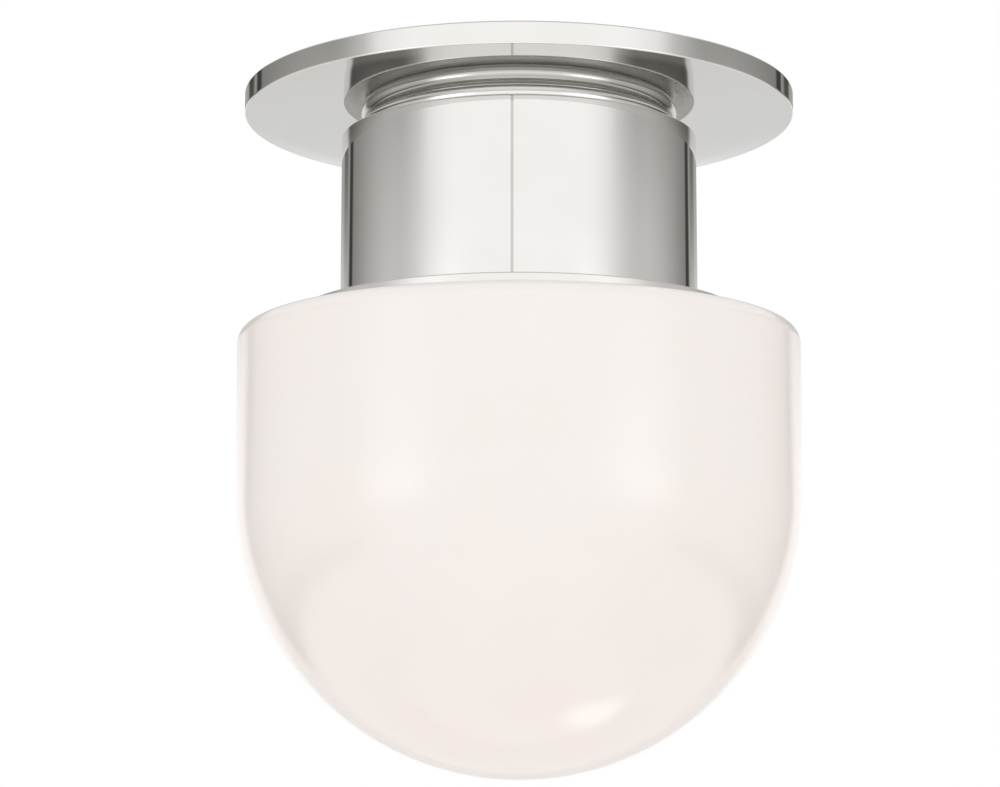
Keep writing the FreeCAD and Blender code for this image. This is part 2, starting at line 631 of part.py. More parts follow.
def wire_connectors():
    """Twist-on caps over the upper ends of the two leads, lying above the bar."""
    def connector(x):
        body = turned([(0, 0, 0), (CONNECTOR_R, 0, CONNECTOR_MOUTH_ROUND),
                       (CONNECTOR_R, CONNECTOR_SKIRT, CONNECTOR_SKIRT_ROUND),
                       (CONNECTOR_TIP_R, CONNECTOR_LEN, CONNECTOR_TIP_ROUND), (0, CONNECTOR_LEN, 0)])
        body = body.cut(rod(LEAD_R + THREAD_FIT, -OVER, LEAD_IN_CONNECTOR))
        body.rotate(Vector(0, 0, 0), Vector(1, 0, 0), -90)
        body.translate(Vector(x, LEAD_RUN_Y, LEAD_RISE))
        return body

    return both_sides(connector, 2 * LEAD_SPLAY)


NODES = {
    "crossbar": crossbar,
    "mounting_studs": mounting_studs,
    "stud_locknuts": stud_locknuts,
    "stud_washers": stud_washers,
    "cap_nuts": cap_nuts,
    "ground_screw": ground_screw,
    "canopy": canopy,
    "neck_bead": neck_bead,
    "sleeve": sleeve,
    "top_plate": top_plate,
    "flange": flange,
    "shade_collar": shade_collar,
    "shade_gasket": shade_gasket,
    "glass_shade": glass_shade,
    "nipple": nipple,
    "nipple_nuts": nipple_nuts,
    "wire_bushing": wire_bushing,
    "holder_cap": holder_cap,
    "holder_body": holder_body,
    "screw_shell": screw_shell,
    "centre_contact": centre_contact,
    "terminal_screws": terminal_screws,
    "tip_contact": tip_contact,
    "cap_insulator": cap_insulator,
    "lamp_cap": lamp_cap,
    "lamp_housing": lamp_housing,
    "led_board": led_board,
    "lamp_diffuser": lamp_diffuser,
    "lead_live": lambda: lead(1),
    "lead_neutral": lambda: lead(-1),
    "wire_connectors": wire_connectors,
}

os.makedirs("parts", exist_ok=True)
for name, make in NODES.items():
    shape = make()
    shape.exportStep(os.path.join("parts", name + ".step"))
    print(name, "solids", len(shape.Solids), "valid", shape.isValid(), "volume", round(shape.Volume, 1))
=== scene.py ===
"""Flush mount ceiling light: a polished nickel canopy, bead, sleeve and flange over an opal glass shade.

The light hangs below the ceiling plane (Z = 0) on the Z axis, its front towards -Y. Each sub-assembly is a
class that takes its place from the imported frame, builds the meshes of its pieces and dresses them.
"""
import logging
import math
from collections.abc import Callable
from dataclasses import dataclass, field
from enum import Enum

import bmesh
import bpy
from mathutils import Matrix, Vector


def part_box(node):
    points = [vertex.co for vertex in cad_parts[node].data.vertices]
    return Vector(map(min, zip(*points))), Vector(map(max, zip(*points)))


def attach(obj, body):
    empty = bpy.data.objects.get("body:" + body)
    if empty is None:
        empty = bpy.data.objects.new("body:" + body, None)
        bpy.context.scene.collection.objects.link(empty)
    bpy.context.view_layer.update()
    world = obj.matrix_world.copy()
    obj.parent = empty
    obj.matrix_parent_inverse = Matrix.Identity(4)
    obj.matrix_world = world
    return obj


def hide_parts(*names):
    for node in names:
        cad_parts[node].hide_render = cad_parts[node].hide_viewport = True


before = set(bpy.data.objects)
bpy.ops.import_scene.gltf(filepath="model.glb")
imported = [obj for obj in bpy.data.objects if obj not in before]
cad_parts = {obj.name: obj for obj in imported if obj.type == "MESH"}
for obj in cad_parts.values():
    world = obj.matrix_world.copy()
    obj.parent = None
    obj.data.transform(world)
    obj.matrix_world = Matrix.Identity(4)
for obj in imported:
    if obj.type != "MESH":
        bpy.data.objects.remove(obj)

LOG = logging.getLogger("ceiling_light")
MM = 0.001

# How closely a round outline follows its arc, and how far from an arc its flat neighbour gets a guard line,
# which keeps the arc's shading off the flat
CHORD_ERROR = 0.004 * MM
GUARD = 0.05 * MM
SHARP_ANGLE = math.radians(32)
MERGE = 0.0005 * MM
LARGE_STEPS = 288
SMALL_STEPS = 72

# Clearances that the pieces keep from each other
HOLE_FIT = 0.1 * MM
THREAD_FIT = 0.05 * MM

# Sizes that several sub-assemblies share. The canopy's underside hangs lower at the neck by its crown.
EDGE_ROUND = 0.3 * MM
SHEET = 1.2 * MM
CANOPY_CROWN = 0.77 * MM
STUD_X = 34.925 * MM
STUD_HOLE = 2.6 * MM

# Most of a noise lies between these two values
NOISE_MIDDLE = {"From Min": 0.3, "From Max": 0.7}

Colour = tuple[float, float, float, float]
WHITE: Colour = (1.0, 1.0, 1.0, 1.0)


# ------------------------------------------------------------------------------------------ node helpers
def linear(colour: str) -> Colour:
    """Turns an sRGB hex colour into the linear colour that a shader takes.

    Args:
        colour: six hex digits after a hash sign.

    Returns:
        Linear red, green and blue, and an alpha of 1.
    """
    parts = [int(colour[i:i + 2], 16) / 255 for i in (1, 3, 5)]
    red, green, blue = [c / 12.92 if c <= 0.04045 else ((c + 0.055) / 1.055) ** 2.4 for c in parts]
    return red, green, blue, 1.0


def add_node(tree: bpy.types.NodeTree, kind: str, inputs: dict | None = None,
             **settings: object) -> bpy.types.Node:
    """Adds one node with its settings and links.

    Args:
        tree: the tree that the node goes in.
        kind: the node's type name.
        inputs: for each input by name or number a value, another node's output, or a node for its first one.
        settings: the node's own properties.

    Returns:
        The new node.
    """
    node = tree.nodes.new(kind)
    for name, value in settings.items():
        setattr(node, name, value)
    for name, value in (inputs or {}).items():
        if isinstance(value, bpy.types.Node):
            value = value.outputs[0]
        if isinstance(value, bpy.types.NodeSocket):
            tree.links.new(value, node.inputs[name])
        else:
            node.inputs[name].default_value = value
    return node


def start_material(name: str) -> tuple[bpy.types.Material, bpy.types.NodeTree, bpy.types.Node]:
    """Starts a node material.

    Args:
        name: the material's name.

    Returns:
        The material, its tree and its principled shader.
    """
    material = bpy.data.materials.new(name)
    material.use_nodes = True
    return material, material.node_tree, material.node_tree.nodes["Principled BSDF"]


# ------------------------------------------------------------------------------------------ finishes
class Grain(Enum):
    """How a surface was worked, which sets the way that its fine marks run."""

    TURNED = "rings about the light's axis"
    EVEN = "no direction"


def grain_noise(tree: bpy.types.NodeTree, grain: Grain, spacing: float,
                detail: float = 2.0) -> bpy.types.Node:
    """Adds a noise whose marks run the way of the grain.

    Args:
        tree: the material's tree.
        grain: the way that the marks run.
        spacing: the distance from mark to mark in metres.
        detail: how many finer layers the noise has.

    Returns:
        The noise node.
    """
    place = add_node(tree, "ShaderNodeTexCoord").outputs["Object"]
    if grain is Grain.TURNED:
        parts = add_node(tree, "ShaderNodeSeparateXYZ", {0: place}).outputs
        flat = add_node(tree, "ShaderNodeCombineXYZ", {"X": parts["X"], "Y": parts["Y"]})
        radius = add_node(tree, "ShaderNodeVectorMath", {0: flat}, operation="LENGTH").outputs["Value"]
        place = add_node(tree, "ShaderNodeCombineXYZ", {"X": radius, "Y": parts["Z"]})
    return add_node(tree, "ShaderNodeTexNoise", {"Vector": place, "Scale": 1 / spacing, "Detail": detail})


@dataclass(frozen=True)
class Surface:
    """What every finish has: two close tones that drift into each other, and a gloss."""

    name: str
    colour: str
    shade: str
    roughness: float

    def tint(self, tree: bpy.types.NodeTree, shader: bpy.types.Node, clouds: bpy.types.Node) -> None:
        """Mixes the two tones.

        Args:
            tree: the material's tree.
            shader: its shader.
            clouds: the noise that sets which tone lies where.
        """
        share = add_node(tree, "ShaderNodeMapRange", {"Value": clouds, **NOISE_MIDDLE})
        tone = add_node(tree, "ShaderNodeMix", {0: share, 6: linear(self.colour), 7: linear(self.shade)},
                        data_type="RGBA")
        tree.links.new(tone.outputs[2], shader.inputs["Base Color"])

    def polish(self, tree: bpy.types.NodeTree, shader: bpy.types.Node, marks: bpy.types.Node,
               spread: float) -> None:
        """Varies the gloss about its middle value.

        Args:
            tree: the material's tree.
            shader: its shader.
            marks: the noise of the marks.
            spread: how far the roughness goes up and down.
        """
        gloss = add_node(tree, "ShaderNodeMapRange",
                         {"Value": marks, **NOISE_MIDDLE, "To Min": self.roughness - spread,
                          "To Max": self.roughness + spread})
        tree.links.new(gloss.outputs[0], shader.inputs["Roughness"])

    @staticmethod
    def emboss(tree: bpy.types.NodeTree, shader: bpy.types.Node, marks: bpy.types.Node,
               height: float) -> None:
        """Gives the surface a relief.

        Args:
            tree: the material's tree.
            shader: its shader.
            marks: the noise of the marks.
            height: how high they stand, in metres.
        """
        bump = add_node(tree, "ShaderNodeBump", {"Strength": 1.0, "Distance": height, "Height": marks})
        tree.links.new(bump.outputs[0], shader.inputs["Normal"])


@dataclass(frozen=True)
class Metal(Surface):
    """A bare or plated metal, with marks of its working in its gloss and, where they show, a shallow relief.

    The marks are drawn coarser than real polishing lines, which are too fine to show.
    """

    spread: float
    grain: Grain = Grain.TURNED
    spacing: float = 0.8 * MM
    relief: float = 0.0
    clouds: float = 18 * MM

    def build(self) -> bpy.types.Material:
        """Builds the material.

        Returns:
            The material.
        """
        material, tree, shader = start_material(self.name)
        marks = grain_noise(tree, self.grain, self.spacing, detail=3.0)
        self.tint(tree, shader, grain_noise(tree, Grain.EVEN, self.clouds))
        self.polish(tree, shader, marks, self.spread)
        if self.relief:
            self.emboss(tree, shader, marks, self.relief)
        shader.inputs["Metallic"].default_value = 1.0
        return material


@dataclass(frozen=True)
class Moulded(Surface):
    """A moulded, cast or glazed solid that isn't metal: two close tones, a gloss and a fine skin."""

    ior: float
    coat: float = 0.0
    subsurface: float = 0.0
    spacing: float = 0.6 * MM
    relief: float = 0.01 * MM
    clouds: float = 9 * MM
    gloss_spread: float = 0.15
    coat_roughness: float = 0.04
    light_path: float = 1.5 * MM
    light_spread: tuple[float, float, float] = (1.0, 0.8, 0.7)

    def build(self) -> bpy.types.Material:
        """Builds the material.

        Returns:
            The material.
        """
        material, tree, shader = start_material(self.name)
        skin = grain_noise(tree, Grain.EVEN, self.spacing)
        self.tint(tree, shader, grain_noise(tree, Grain.EVEN, self.clouds))
        self.polish(tree, shader, skin, self.gloss_spread * self.roughness)
        self.emboss(tree, shader, skin, self.relief)
        for label, value in (("IOR", self.ior), ("Coat Weight", self.coat),
                             ("Coat Roughness", self.coat_roughness), ("Subsurface Weight", self.subsurface),
                             ("Subsurface Radius", self.light_spread), ("Subsurface Scale", self.light_path)):
            shader.inputs[label].default_value = value
        return material


@dataclass(frozen=True)
class OpalGlass(Surface):
    """White opal glass, blown in a mould and fire polished: a milky body under a clear, very smooth skin.

    The body carries faint clouds from the blowing, and the skin a long soft waviness.
    """

    ior: float = 1.52
    wave: float = 26 * MM
    wave_height: float = 0.012 * MM

    def build(self) -> bpy.types.Material:
        """Builds the material.

        Returns:
            The material.
        """
        material, tree, shader = start_material(self.name)
        clouds = grain_noise(tree, Grain.EVEN, self.wave, detail=3.0)
        self.tint(tree, shader, clouds)
        self.emboss(tree, shader, clouds, self.wave_height)
        shader.inputs["Roughness"].default_value = self.roughness
        shader.inputs["IOR"].default_value = self.ior
        return material


class Finish(Enum):
    """Every finish on the light, by the slot of the record that it belongs to."""

    # Nickel plate, buffed to a mirror: light grey with a trace of warmth, sharp reflections
    POLISHED_NICKEL = Metal("nickel_plate_mirror_polished", "#DCDBD9", "#D9D8D5", 0.018, 0.006)
    # The same plate where no buffing wheel reaches, in the crevices of the neck: dull
    DULL_NICKEL = Metal("nickel_plate_unbuffed", "#DCDBD9", "#D9D8D5", 0.34, 0.03)
    # The same plate inside the pan, left as spun: the reflections spread along the spinning rings
    SPUN_NICKEL = Metal("nickel_plate_as_spun", "#C4C1BA", "#B7B4AC", 0.34, 0.08, relief=0.004 * MM)
    # White opal glass, mould blown: milky and even, with a soft wide gloss
    OPAL_GLASS = OpalGlass("opal_glass_fire_polished", "#F6F4F2", "#F5F2EF", 0.09)
    # Clear silicone rubber, moulded: milky and dull
    SILICONE = Moulded("silicone_rubber_moulded", "#DFDEDA", "#D6D5D0", 0.5, 1.41, subsurface=0.3)
    # Aluminium turned on a lathe: tool rings, light and neutral
    TURNED_ALUMINIUM = Metal("aluminium_turned", "#CBCCCE", "#C0C1C4", 0.28, 0.08, relief=0.008 * MM)
    # Steel with bright zinc plate, stamped or rolled: cool grey with a soft mottle
    ZINC_STEEL = Metal("steel_zinc_plated", "#BFC3C6", "#A9AEB3", 0.3, 0.1, Grain.EVEN, 1.6 * MM,
                       0.006 * MM)
    # Brass nuts with a thin nickel plate: brighter than steel, a trace of yellow
    NICKEL_BRASS = Metal("brass_nickel_plated", "#D6D0C2", "#CCC4B2", 0.18, 0.05, relief=0.003 * MM)
    # Bare rolled brass of the lamp's cap and the screw shell: yellow metal, slightly dulled
    BRASS_CAP = Metal("brass_rolled", "#D2B478", "#C2A066", 0.26, 0.08, Grain.EVEN, 2.0 * MM, 0.004 * MM)
    # Glazed electrical porcelain: off-white body under clear glaze
    PORCELAIN = Moulded("porcelain_glazed", "#ECE8DE", "#E6E1D5", 0.3, 1.5, coat=1.0, spacing=3 * MM)
    # Earthing screw: steel lacquered green
    GREEN_SCREW = Moulded("steel_green_lacquer", "#2E7D4F", "#276B44", 0.3, 1.5, coat=0.6)
    # Nylon bushing, injection moulded: dense, waxy, off-white
    NYLON = Moulded("nylon_moulded", "#E9E5DA", "#E2DDD0", 0.42, 1.53, subsurface=0.2)
    # Tin solder, cooled in air: bright grey, softly wrinkled
    SOLDER = Metal("solder_cooled", "#C2C3C4", "#B4B6B8", 0.36, 0.1, Grain.EVEN, 1.2 * MM, 0.02 * MM)
    # Dark vitrite glass between the lamp's cap and tip: black, glossy
    BLACK_GLASS = Moulded("vitrite_glass_pressed", "#121114", "#1A181B", 0.12, 1.55, coat=0.5)
    # White polycarbonate of the lamp's body, injection moulded with a satin skin
    WHITE_PLASTIC = Moulded("polycarbonate_satin", "#F0EFEC", "#EBEAE6", 0.38, 1.58)
    # Aluminium-core board with white solder mask: flat white, half gloss
    CIRCUIT_BOARD = Moulded("board_white_solder_mask", "#ECEEEA", "#E5E8E3", 0.34, 1.5, spacing=1.5 * MM)
    # Frosted polycarbonate dome of the lamp: milky, matt, light spreads in it
    FROSTED_PLASTIC = Moulded("polycarbonate_frosted", "#F2F1EE", "#EEEDE9", 0.55, 1.58, subsurface=0.4)
    # Soft vinyl insulation, extruded: close, even skin, half gloss
    BLACK_WIRE = Moulded("vinyl_insulation_black", "#1B1B1C", "#222223", 0.4, 1.53, spacing=1.2 * MM)
    WHITE_WIRE = Moulded("vinyl_insulation_white", "#EEECE7", "#E6E4DE", 0.4, 1.53, spacing=1.2 * MM)
    # Twist-on connector, moulded in orange polypropylene: waxy, faint moulding skin
    CONNECTOR_PLASTIC = Moulded("polypropylene_orange", "#D9762B", "#CF6D24", 0.45, 1.49,
                                subsurface=0.1)

    @property
    def slot(self) -> str:
        """The record's material slot for this finish."""
        return "polished_nickel" if self in (Finish.SPUN_NICKEL, Finish.DULL_NICKEL) else self.name.lower()

    @property
    def material(self) -> bpy.types.Material:
        """The finish's material, built when it is first asked for."""
        return bpy.data.materials.get(self.value.name) or self.value.build()


# ------------------------------------------------------------------------------------------ geometry trees
def start_tree(name: str, sizes: dict[str, str]) -> tuple[bpy.types.NodeTree, bpy.types.Node]:
    """Starts a geometry tree.

    Args:
        name: the tree's name.
        sizes: the kind of socket for each named input.

    Returns:
        The tree and its input node, which also has Geometry and Finish.
    """
    tree = bpy.data.node_groups.new(name, "GeometryNodeTree")
    tree.interface.new_socket("Geometry", in_out="OUTPUT", socket_type="NodeSocketGeometry")
    tree.interface.new_socket("Geometry", in_out="INPUT", socket_type="NodeSocketGeometry")
    for label, kind in {**sizes, "Finish": "Material"}.items():
        tree.interface.new_socket(label, in_out="INPUT", socket_type="NodeSocket" + kind)
    return tree, tree.nodes.new("NodeGroupInput")


def end_tree(tree: bpy.types.NodeTree, source: bpy.types.Node, shape: bpy.types.Node) -> bpy.types.NodeTree:
    """Ends a tree in Realize Instances and Set Material.

    Args:
        tree: the tree.
        source: its input node.
        shape: the node whose first output is the finished shape.

    Returns:
        The tree.
    """
    real = add_node(tree, "GeometryNodeRealizeInstances", {0: shape})
    dressed = add_node(tree, "GeometryNodeSetMaterial",
                       {"Geometry": real, "Material": source.outputs["Finish"]})
    add_node(tree, "NodeGroupOutput", {0: dressed})
    return tree


def turning_tree() -> bpy.types.NodeTree:
    """Turns an outline, drawn as edges in the XZ plane, once about the Z axis.

    Returns:
        The tree.
    """
    tree, source = start_tree("turned_piece", {"Steps": "Int"})
    rail_radius = 1 * MM
    place = add_node(tree, "ShaderNodeSeparateXYZ", {0: add_node(tree, "GeometryNodeInputPosition")}).outputs
    out = add_node(tree, "ShaderNodeMath", {0: place["X"], 1: rail_radius}, operation="SUBTRACT")
    down = add_node(tree, "ShaderNodeMath", {0: place["Z"], 1: -1.0}, operation="MULTIPLY")
    section = add_node(tree, "ShaderNodeCombineXYZ", {"X": out, "Y": down})
    flat = add_node(tree, "GeometryNodeSetPosition",
                    {"Geometry": source.outputs["Geometry"], "Position": section})
    outline = add_node(tree, "GeometryNodeMeshToCurve", {"Mesh": flat})
    ring = add_node(tree, "GeometryNodeCurvePrimitiveCircle",
                    {"Resolution": source.outputs["Steps"], "Radius": rail_radius}, mode="RADIUS")
    rail = add_node(tree, "GeometryNodeSetCurveNormal", {"Curve": ring}, mode="Z_UP")
    wall = add_node(tree, "GeometryNodeCurveToMesh", {"Curve": rail, "Profile Curve": outline})
    return end_tree(tree, source, wall)


def thread_tree() -> bpy.types.NodeTree:
    """Joins a right-handed helical ridge to a blank. The ridge fades out over a part of a turn at each end.

    Returns:
        The tree.
    """
    sizes = dict.fromkeys(("Radius", "Depth", "Bury", "Foot Width", "Crest Width", "Pitch", "Turns", "Start"),
                          "Float")
    tree, source = start_tree("threaded_piece", sizes)
    size = source.outputs
    run_out_turns = 0.1
    end_scale = 0.05
    steps_per_turn = 48
    height = add_node(tree, "ShaderNodeMath", {0: size["Pitch"], 1: size["Turns"]}, operation="MULTIPLY")
    spiral = add_node(tree, "GeometryNodeCurveSpiral",
                      {"Resolution": steps_per_turn, "Rotations": size["Turns"], "Height": height,
                       "Start Radius": size["Radius"], "End Radius": size["Radius"], "Reverse": True})
    rail = add_node(tree, "GeometryNodeSetCurveNormal", {"Curve": spiral}, mode="Z_UP")
    foot = add_node(tree, "ShaderNodeMath", {0: size["Bury"], 1: -1.0}, operation="MULTIPLY")
    corners = {}
    for i, (x, width, side) in enumerate((
            (foot, "Foot Width", -0.5), (foot, "Foot Width", 0.5),
            (size["Depth"], "Crest Width", 0.5), (size["Depth"], "Crest Width", -0.5))):
        y = add_node(tree, "ShaderNodeMath", {0: size[width], 1: side}, operation="MULTIPLY")
        corners[f"Point {i + 1}"] = add_node(tree, "ShaderNodeCombineXYZ", {"X": x, "Y": y})
    section = add_node(tree, "GeometryNodeCurvePrimitiveQuadrilateral", corners, mode="POINTS")
    along = add_node(tree, "GeometryNodeSplineParameter").outputs["Factor"]
    to_end = add_node(tree, "ShaderNodeMath", {0: 1.0, 1: along}, operation="SUBTRACT")
    nearer = add_node(tree, "ShaderNodeMath", {0: along, 1: to_end}, operation="MINIMUM")
    turns_left = add_node(tree, "ShaderNodeMath", {0: nearer, 1: size["Turns"]}, operation="MULTIPLY")
    fade = add_node(tree, "ShaderNodeMapRange", {"Value": turns_left, "To Min": end_scale,
                                                 "From Max": run_out_turns * (1 - end_scale)})
    ridge = add_node(tree, "GeometryNodeCurveToMesh",
                     {"Curve": rail, "Profile Curve": section, "Scale": fade, "Fill Caps": True})
    lift = add_node(tree, "ShaderNodeCombineXYZ", {"Z": size["Start"]})
    raised = add_node(tree, "GeometryNodeTransform", {"Geometry": ridge, "Translation": lift})
    whole = add_node(tree, "GeometryNodeJoinGeometry")
    tree.links.new(size["Geometry"], whole.inputs[0])
    tree.links.new(raised.outputs[0], whole.inputs[0])
    return end_tree(tree, source, whole)


def stamping_tree() -> bpy.types.NodeTree:
    """Fills flat outlines, with holes where one lies in another, and gives the sheet its thickness.

    Returns:
        The tree.
    """
    tree, source = start_tree("stamped_sheet", {"Thickness": "Float"})
    outlines = add_node(tree, "GeometryNodeMeshToCurve", {"Mesh": source.outputs["Geometry"]})
    face = add_node(tree, "GeometryNodeFillCurve", {"Curve": outlines})
    up = add_node(tree, "ShaderNodeCombineXYZ", {"Z": source.outputs["Thickness"]})
    risen = add_node(tree, "GeometryNodeExtrudeMesh", {"Mesh": face, "Offset": up, "Individual": False},
                     mode="FACES")
    foot = add_node(tree, "GeometryNodeFlipFaces", {"Mesh": face})
    whole = add_node(tree, "GeometryNodeJoinGeometry")
    tree.links.new(risen.outputs["Mesh"], whole.inputs[0])
    tree.links.new(foot.outputs[0], whole.inputs[0])
    return end_tree(tree, source, whole)


def ring_tree() -> bpy.types.NodeTree:
    """Stands copies of a small shape on a circle about the Z axis, each turned to face outwards.

    Returns:
        The tree.
    """
    tree, source = start_tree("ring_of_copies", {"Count": "Int", "Radius": "Float"})
    count = source.outputs["Count"]
    ring = add_node(tree, "GeometryNodeCurvePrimitiveCircle",
                    {"Resolution": count, "Radius": source.outputs["Radius"]}, mode="RADIUS")
    step = add_node(tree, "ShaderNodeMath", {0: math.tau, 1: count}, operation="DIVIDE")
    angle = add_node(tree, "ShaderNodeMath", {0: add_node(tree, "GeometryNodeInputIndex"), 1: step},
                     operation="MULTIPLY")
    euler = add_node(tree, "ShaderNodeCombineXYZ", {"Z": angle})
    turned = add_node(tree, "FunctionNodeEulerToRotation", {0: euler})
    points = add_node(tree, "GeometryNodeCurveToMesh", {"Curve": ring})
    copies = add_node(tree, "GeometryNodeInstanceOnPoints",
                      {"Points": points, "Instance": source.outputs["Geometry"], "Rotation": turned})
    return end_tree(tree, source, copies)


def wire_tree() -> bpy.types.NodeTree:
    """Lays a round wire along a path of straight runs, with every corner bent to one radius.

    Returns:
        The tree.
    """
    tree, source = start_tree("bent_wire", {"Radius": "Float", "Bend": "Float"})
    bend_steps = 12
    round_steps = 24
    path = add_node(tree, "GeometryNodeMeshToCurve", {"Mesh": source.outputs["Geometry"]})
    bent = add_node(tree, "GeometryNodeFilletCurve",
                    {"Curve": path, "Radius": source.outputs["Bend"], "Count": bend_steps,
                     "Limit Radius": True}, mode="POLY")
    section = add_node(tree, "GeometryNodeCurvePrimitiveCircle",
                       {"Resolution": round_steps, "Radius": source.outputs["Radius"]}, mode="RADIUS")
    skin = add_node(tree, "GeometryNodeCurveToMesh",
                    {"Curve": bent, "Profile Curve": section, "Fill Caps": True})
    return end_tree(tree, source, skin)


class Maker(Enum):
    """The ways of making a piece by rule. Each tree is built once."""

    TURN = turning_tree()
    THREAD = thread_tree()
    STAMP = stamping_tree()
    RING = ring_tree()
    WIRE = wire_tree()


# ------------------------------------------------------------------------------------------ mesh helpers
@dataclass(frozen=True)
class Corner:
    """A corner of a turned outline, with the radius that rounds it."""

    r: float
    z: float
    rounding: float = 0.0


def rounded(corners: list[Corner], closed: bool) -> list[tuple[float, float]]:
    """Walks an outline and rounds its corners.

    Args:
        corners: the outline's corners in order.
        closed: whether the last corner joins the first.

    Returns:
        Radius and height of each point, with guard points on the flats beside each arc.
    """
    spots = [Vector((corner.r, corner.z)) for corner in corners]
    count = len(spots)
    fewest_steps = 4
    walk: list[Vector] = []
    for i, corner in enumerate(corners):
        if corner.rounding <= 0 or (not closed and i in (0, count - 1)):
            walk.append(spots[i])
            continue
        to_last = spots[i - 1] - spots[i]
        to_next = spots[(i + 1) % count] - spots[i]
        half = to_last.angle(to_next) / 2
        setback = corner.rounding / math.tan(half)
        centre = spots[i] + (to_last.normalized() + to_next.normalized()).normalized() * (
            corner.rounding / math.sin(half))
        start = spots[i] + to_last.normalized() * setback - centre
        end = spots[i] + to_next.normalized() * setback - centre
        sweep = start.angle_signed(end)
        steps = max(fewest_steps, math.ceil(abs(sweep) / (2 * math.acos(1 - CHORD_ERROR / corner.rounding))))
        if to_last.length - setback > 2 * GUARD:
            walk.append(centre + start + to_last.normalized() * GUARD)
        for k in range(steps + 1):
            turned = start.copy()
            turned.rotate(Matrix.Rotation(-sweep * k / steps, 2))
            walk.append(centre + turned)
        if to_next.length - setback > 2 * GUARD:
            walk.append(centre + end + to_next.normalized() * GUARD)
    kept = [spot for i, spot in enumerate(walk) if i == 0 or (spot - walk[i - 1]).length > MERGE]
    return [(max(spot.x, 0.0), spot.y) for spot in kept]


def new_piece(name: str, mesh: bpy.types.Mesh) -> bpy.types.Object:
    """Puts a mesh in the scene as an object at the origin.

    Args:
        name: the object's name.
        mesh: its mesh.

    Returns:
        The object.
    """
    piece = bpy.data.objects.new(name, mesh)
    bpy.context.scene.collection.objects.link(piece)
    return piece


def settle(piece: bpy.types.Object) -> bpy.types.Object:
    """Turns a piece with modifiers into a plain, closed, outward-facing mesh.

    Args:
        piece: the object, whose modifiers are applied and removed.

    Returns:
        The same object.
    """
    evaluated = piece.evaluated_get(bpy.context.evaluated_depsgraph_get())
    mesh = bpy.data.meshes.new_from_object(evaluated)
    piece.modifiers.clear()
    piece.data = mesh
    work = bmesh.new()
    work.from_mesh(mesh)
    bmesh.ops.remove_doubles(work, verts=work.verts, dist=MERGE)
    bmesh.ops.dissolve_degenerate(work, edges=work.edges, dist=MERGE / 2)
    bmesh.ops.recalc_face_normals(work, faces=work.faces)
    work.to_mesh(mesh)
    work.free()
    mesh.shade_smooth()
    mesh.set_sharp_from_angle(angle=SHARP_ANGLE)
    return piece


def make(name: str, maker: Maker, base: bpy.types.Mesh, finish: Finish, **sizes: float) -> bpy.types.Object:
    """Makes a piece from a base mesh by one of the rules.

    Args:
        name: the piece's name.
        maker: the rule.
        base: the mesh that the rule starts from.
        finish: the piece's finish.
        sizes: the tree's named inputs, with underscores for spaces.

    Returns:
        The piece as a plain mesh.
    """
    piece = new_piece(name, base)
    modifier = piece.modifiers.new(maker.name.lower(), "NODES")
    modifier.node_group = maker.value
    wanted = {label.replace("_", " ").title(): value for label, value in sizes.items()}
    wanted["Finish"] = finish.material
    for item in maker.value.interface.items_tree:
        if item.in_out == "INPUT" and item.name in wanted:
            modifier[item.identifier] = wanted[item.name]
    return settle(piece)


def loops(*outlines: list[Vector], closed: bool = True) -> bpy.types.Mesh:
    """Makes a mesh of edges only.

    Args:
        outlines: the points of each chain of edges.
        closed: whether each chain's last point joins its first.

    Returns:
        The mesh.
    """
    points: list[Vector] = []
    edges: list[tuple[int, int]] = []
    for outline in outlines:
        first = len(points)
        points += outline
        edges += [(first + i, first + i + 1) for i in range(len(outline) - 1)]
        if closed:
            edges.append((len(points) - 1, first))
    mesh = bpy.data.meshes.new("outline")
    mesh.from_pydata(points, edges, [])
    return mesh


def turn(name: str, corners: list[Corner], finish: Finish, closed: bool = True,
         steps: int = LARGE_STEPS) -> bpy.types.Object:
    """Turns an outline about the Z axis.

    Args:
        name: the piece's name.
        corners: the outline's corners.
        finish: the piece's finish.
        closed: False where both ends of the outline lie on the axis.
        steps: how many steps make the full turn.

    Returns:
        The turned piece.
    """
    outline = [Vector((r, 0.0, z)) for r, z in rounded(corners, closed)]
    return make(name, Maker.TURN, loops(outline, closed=closed), finish, steps=steps)


def circle(radius: float, x: float = 0.0, y: float = 0.0, steps: int = SMALL_STEPS) -> list[Vector]:
    """Points of a circle in the XY plane."""
    angles = [math.tau * i / steps for i in range(steps)]
    return [Vector((x + radius * math.cos(angle), y + radius * math.sin(angle), 0.0)) for angle in angles]


def rounded_plan(length: float, width: float, corner: float, x: float = 0.0) -> list[Vector]:
    """Points of a rectangle in the XY plane with quarter-round corners.

    Args:
        length: its length along X.
        width: its width along Y.
        corner: the radius of its corners.
        x: where its middle lies on the X axis.

    Returns:
        The points, counter-clockwise.
    """
    points = []
    steps = 12
    for quarter, (sx, sy) in enumerate(((1, 1), (-1, 1), (-1, -1), (1, -1))):
        centre = Vector((x + sx * (length / 2 - corner), sy * (width / 2 - corner), 0.0))
        for i in range(steps + 1):
            angle = math.pi / 2 * (quarter + i / steps)
            points.append(centre + Vector((math.cos(angle), math.sin(angle), 0.0)) * corner)
    return points


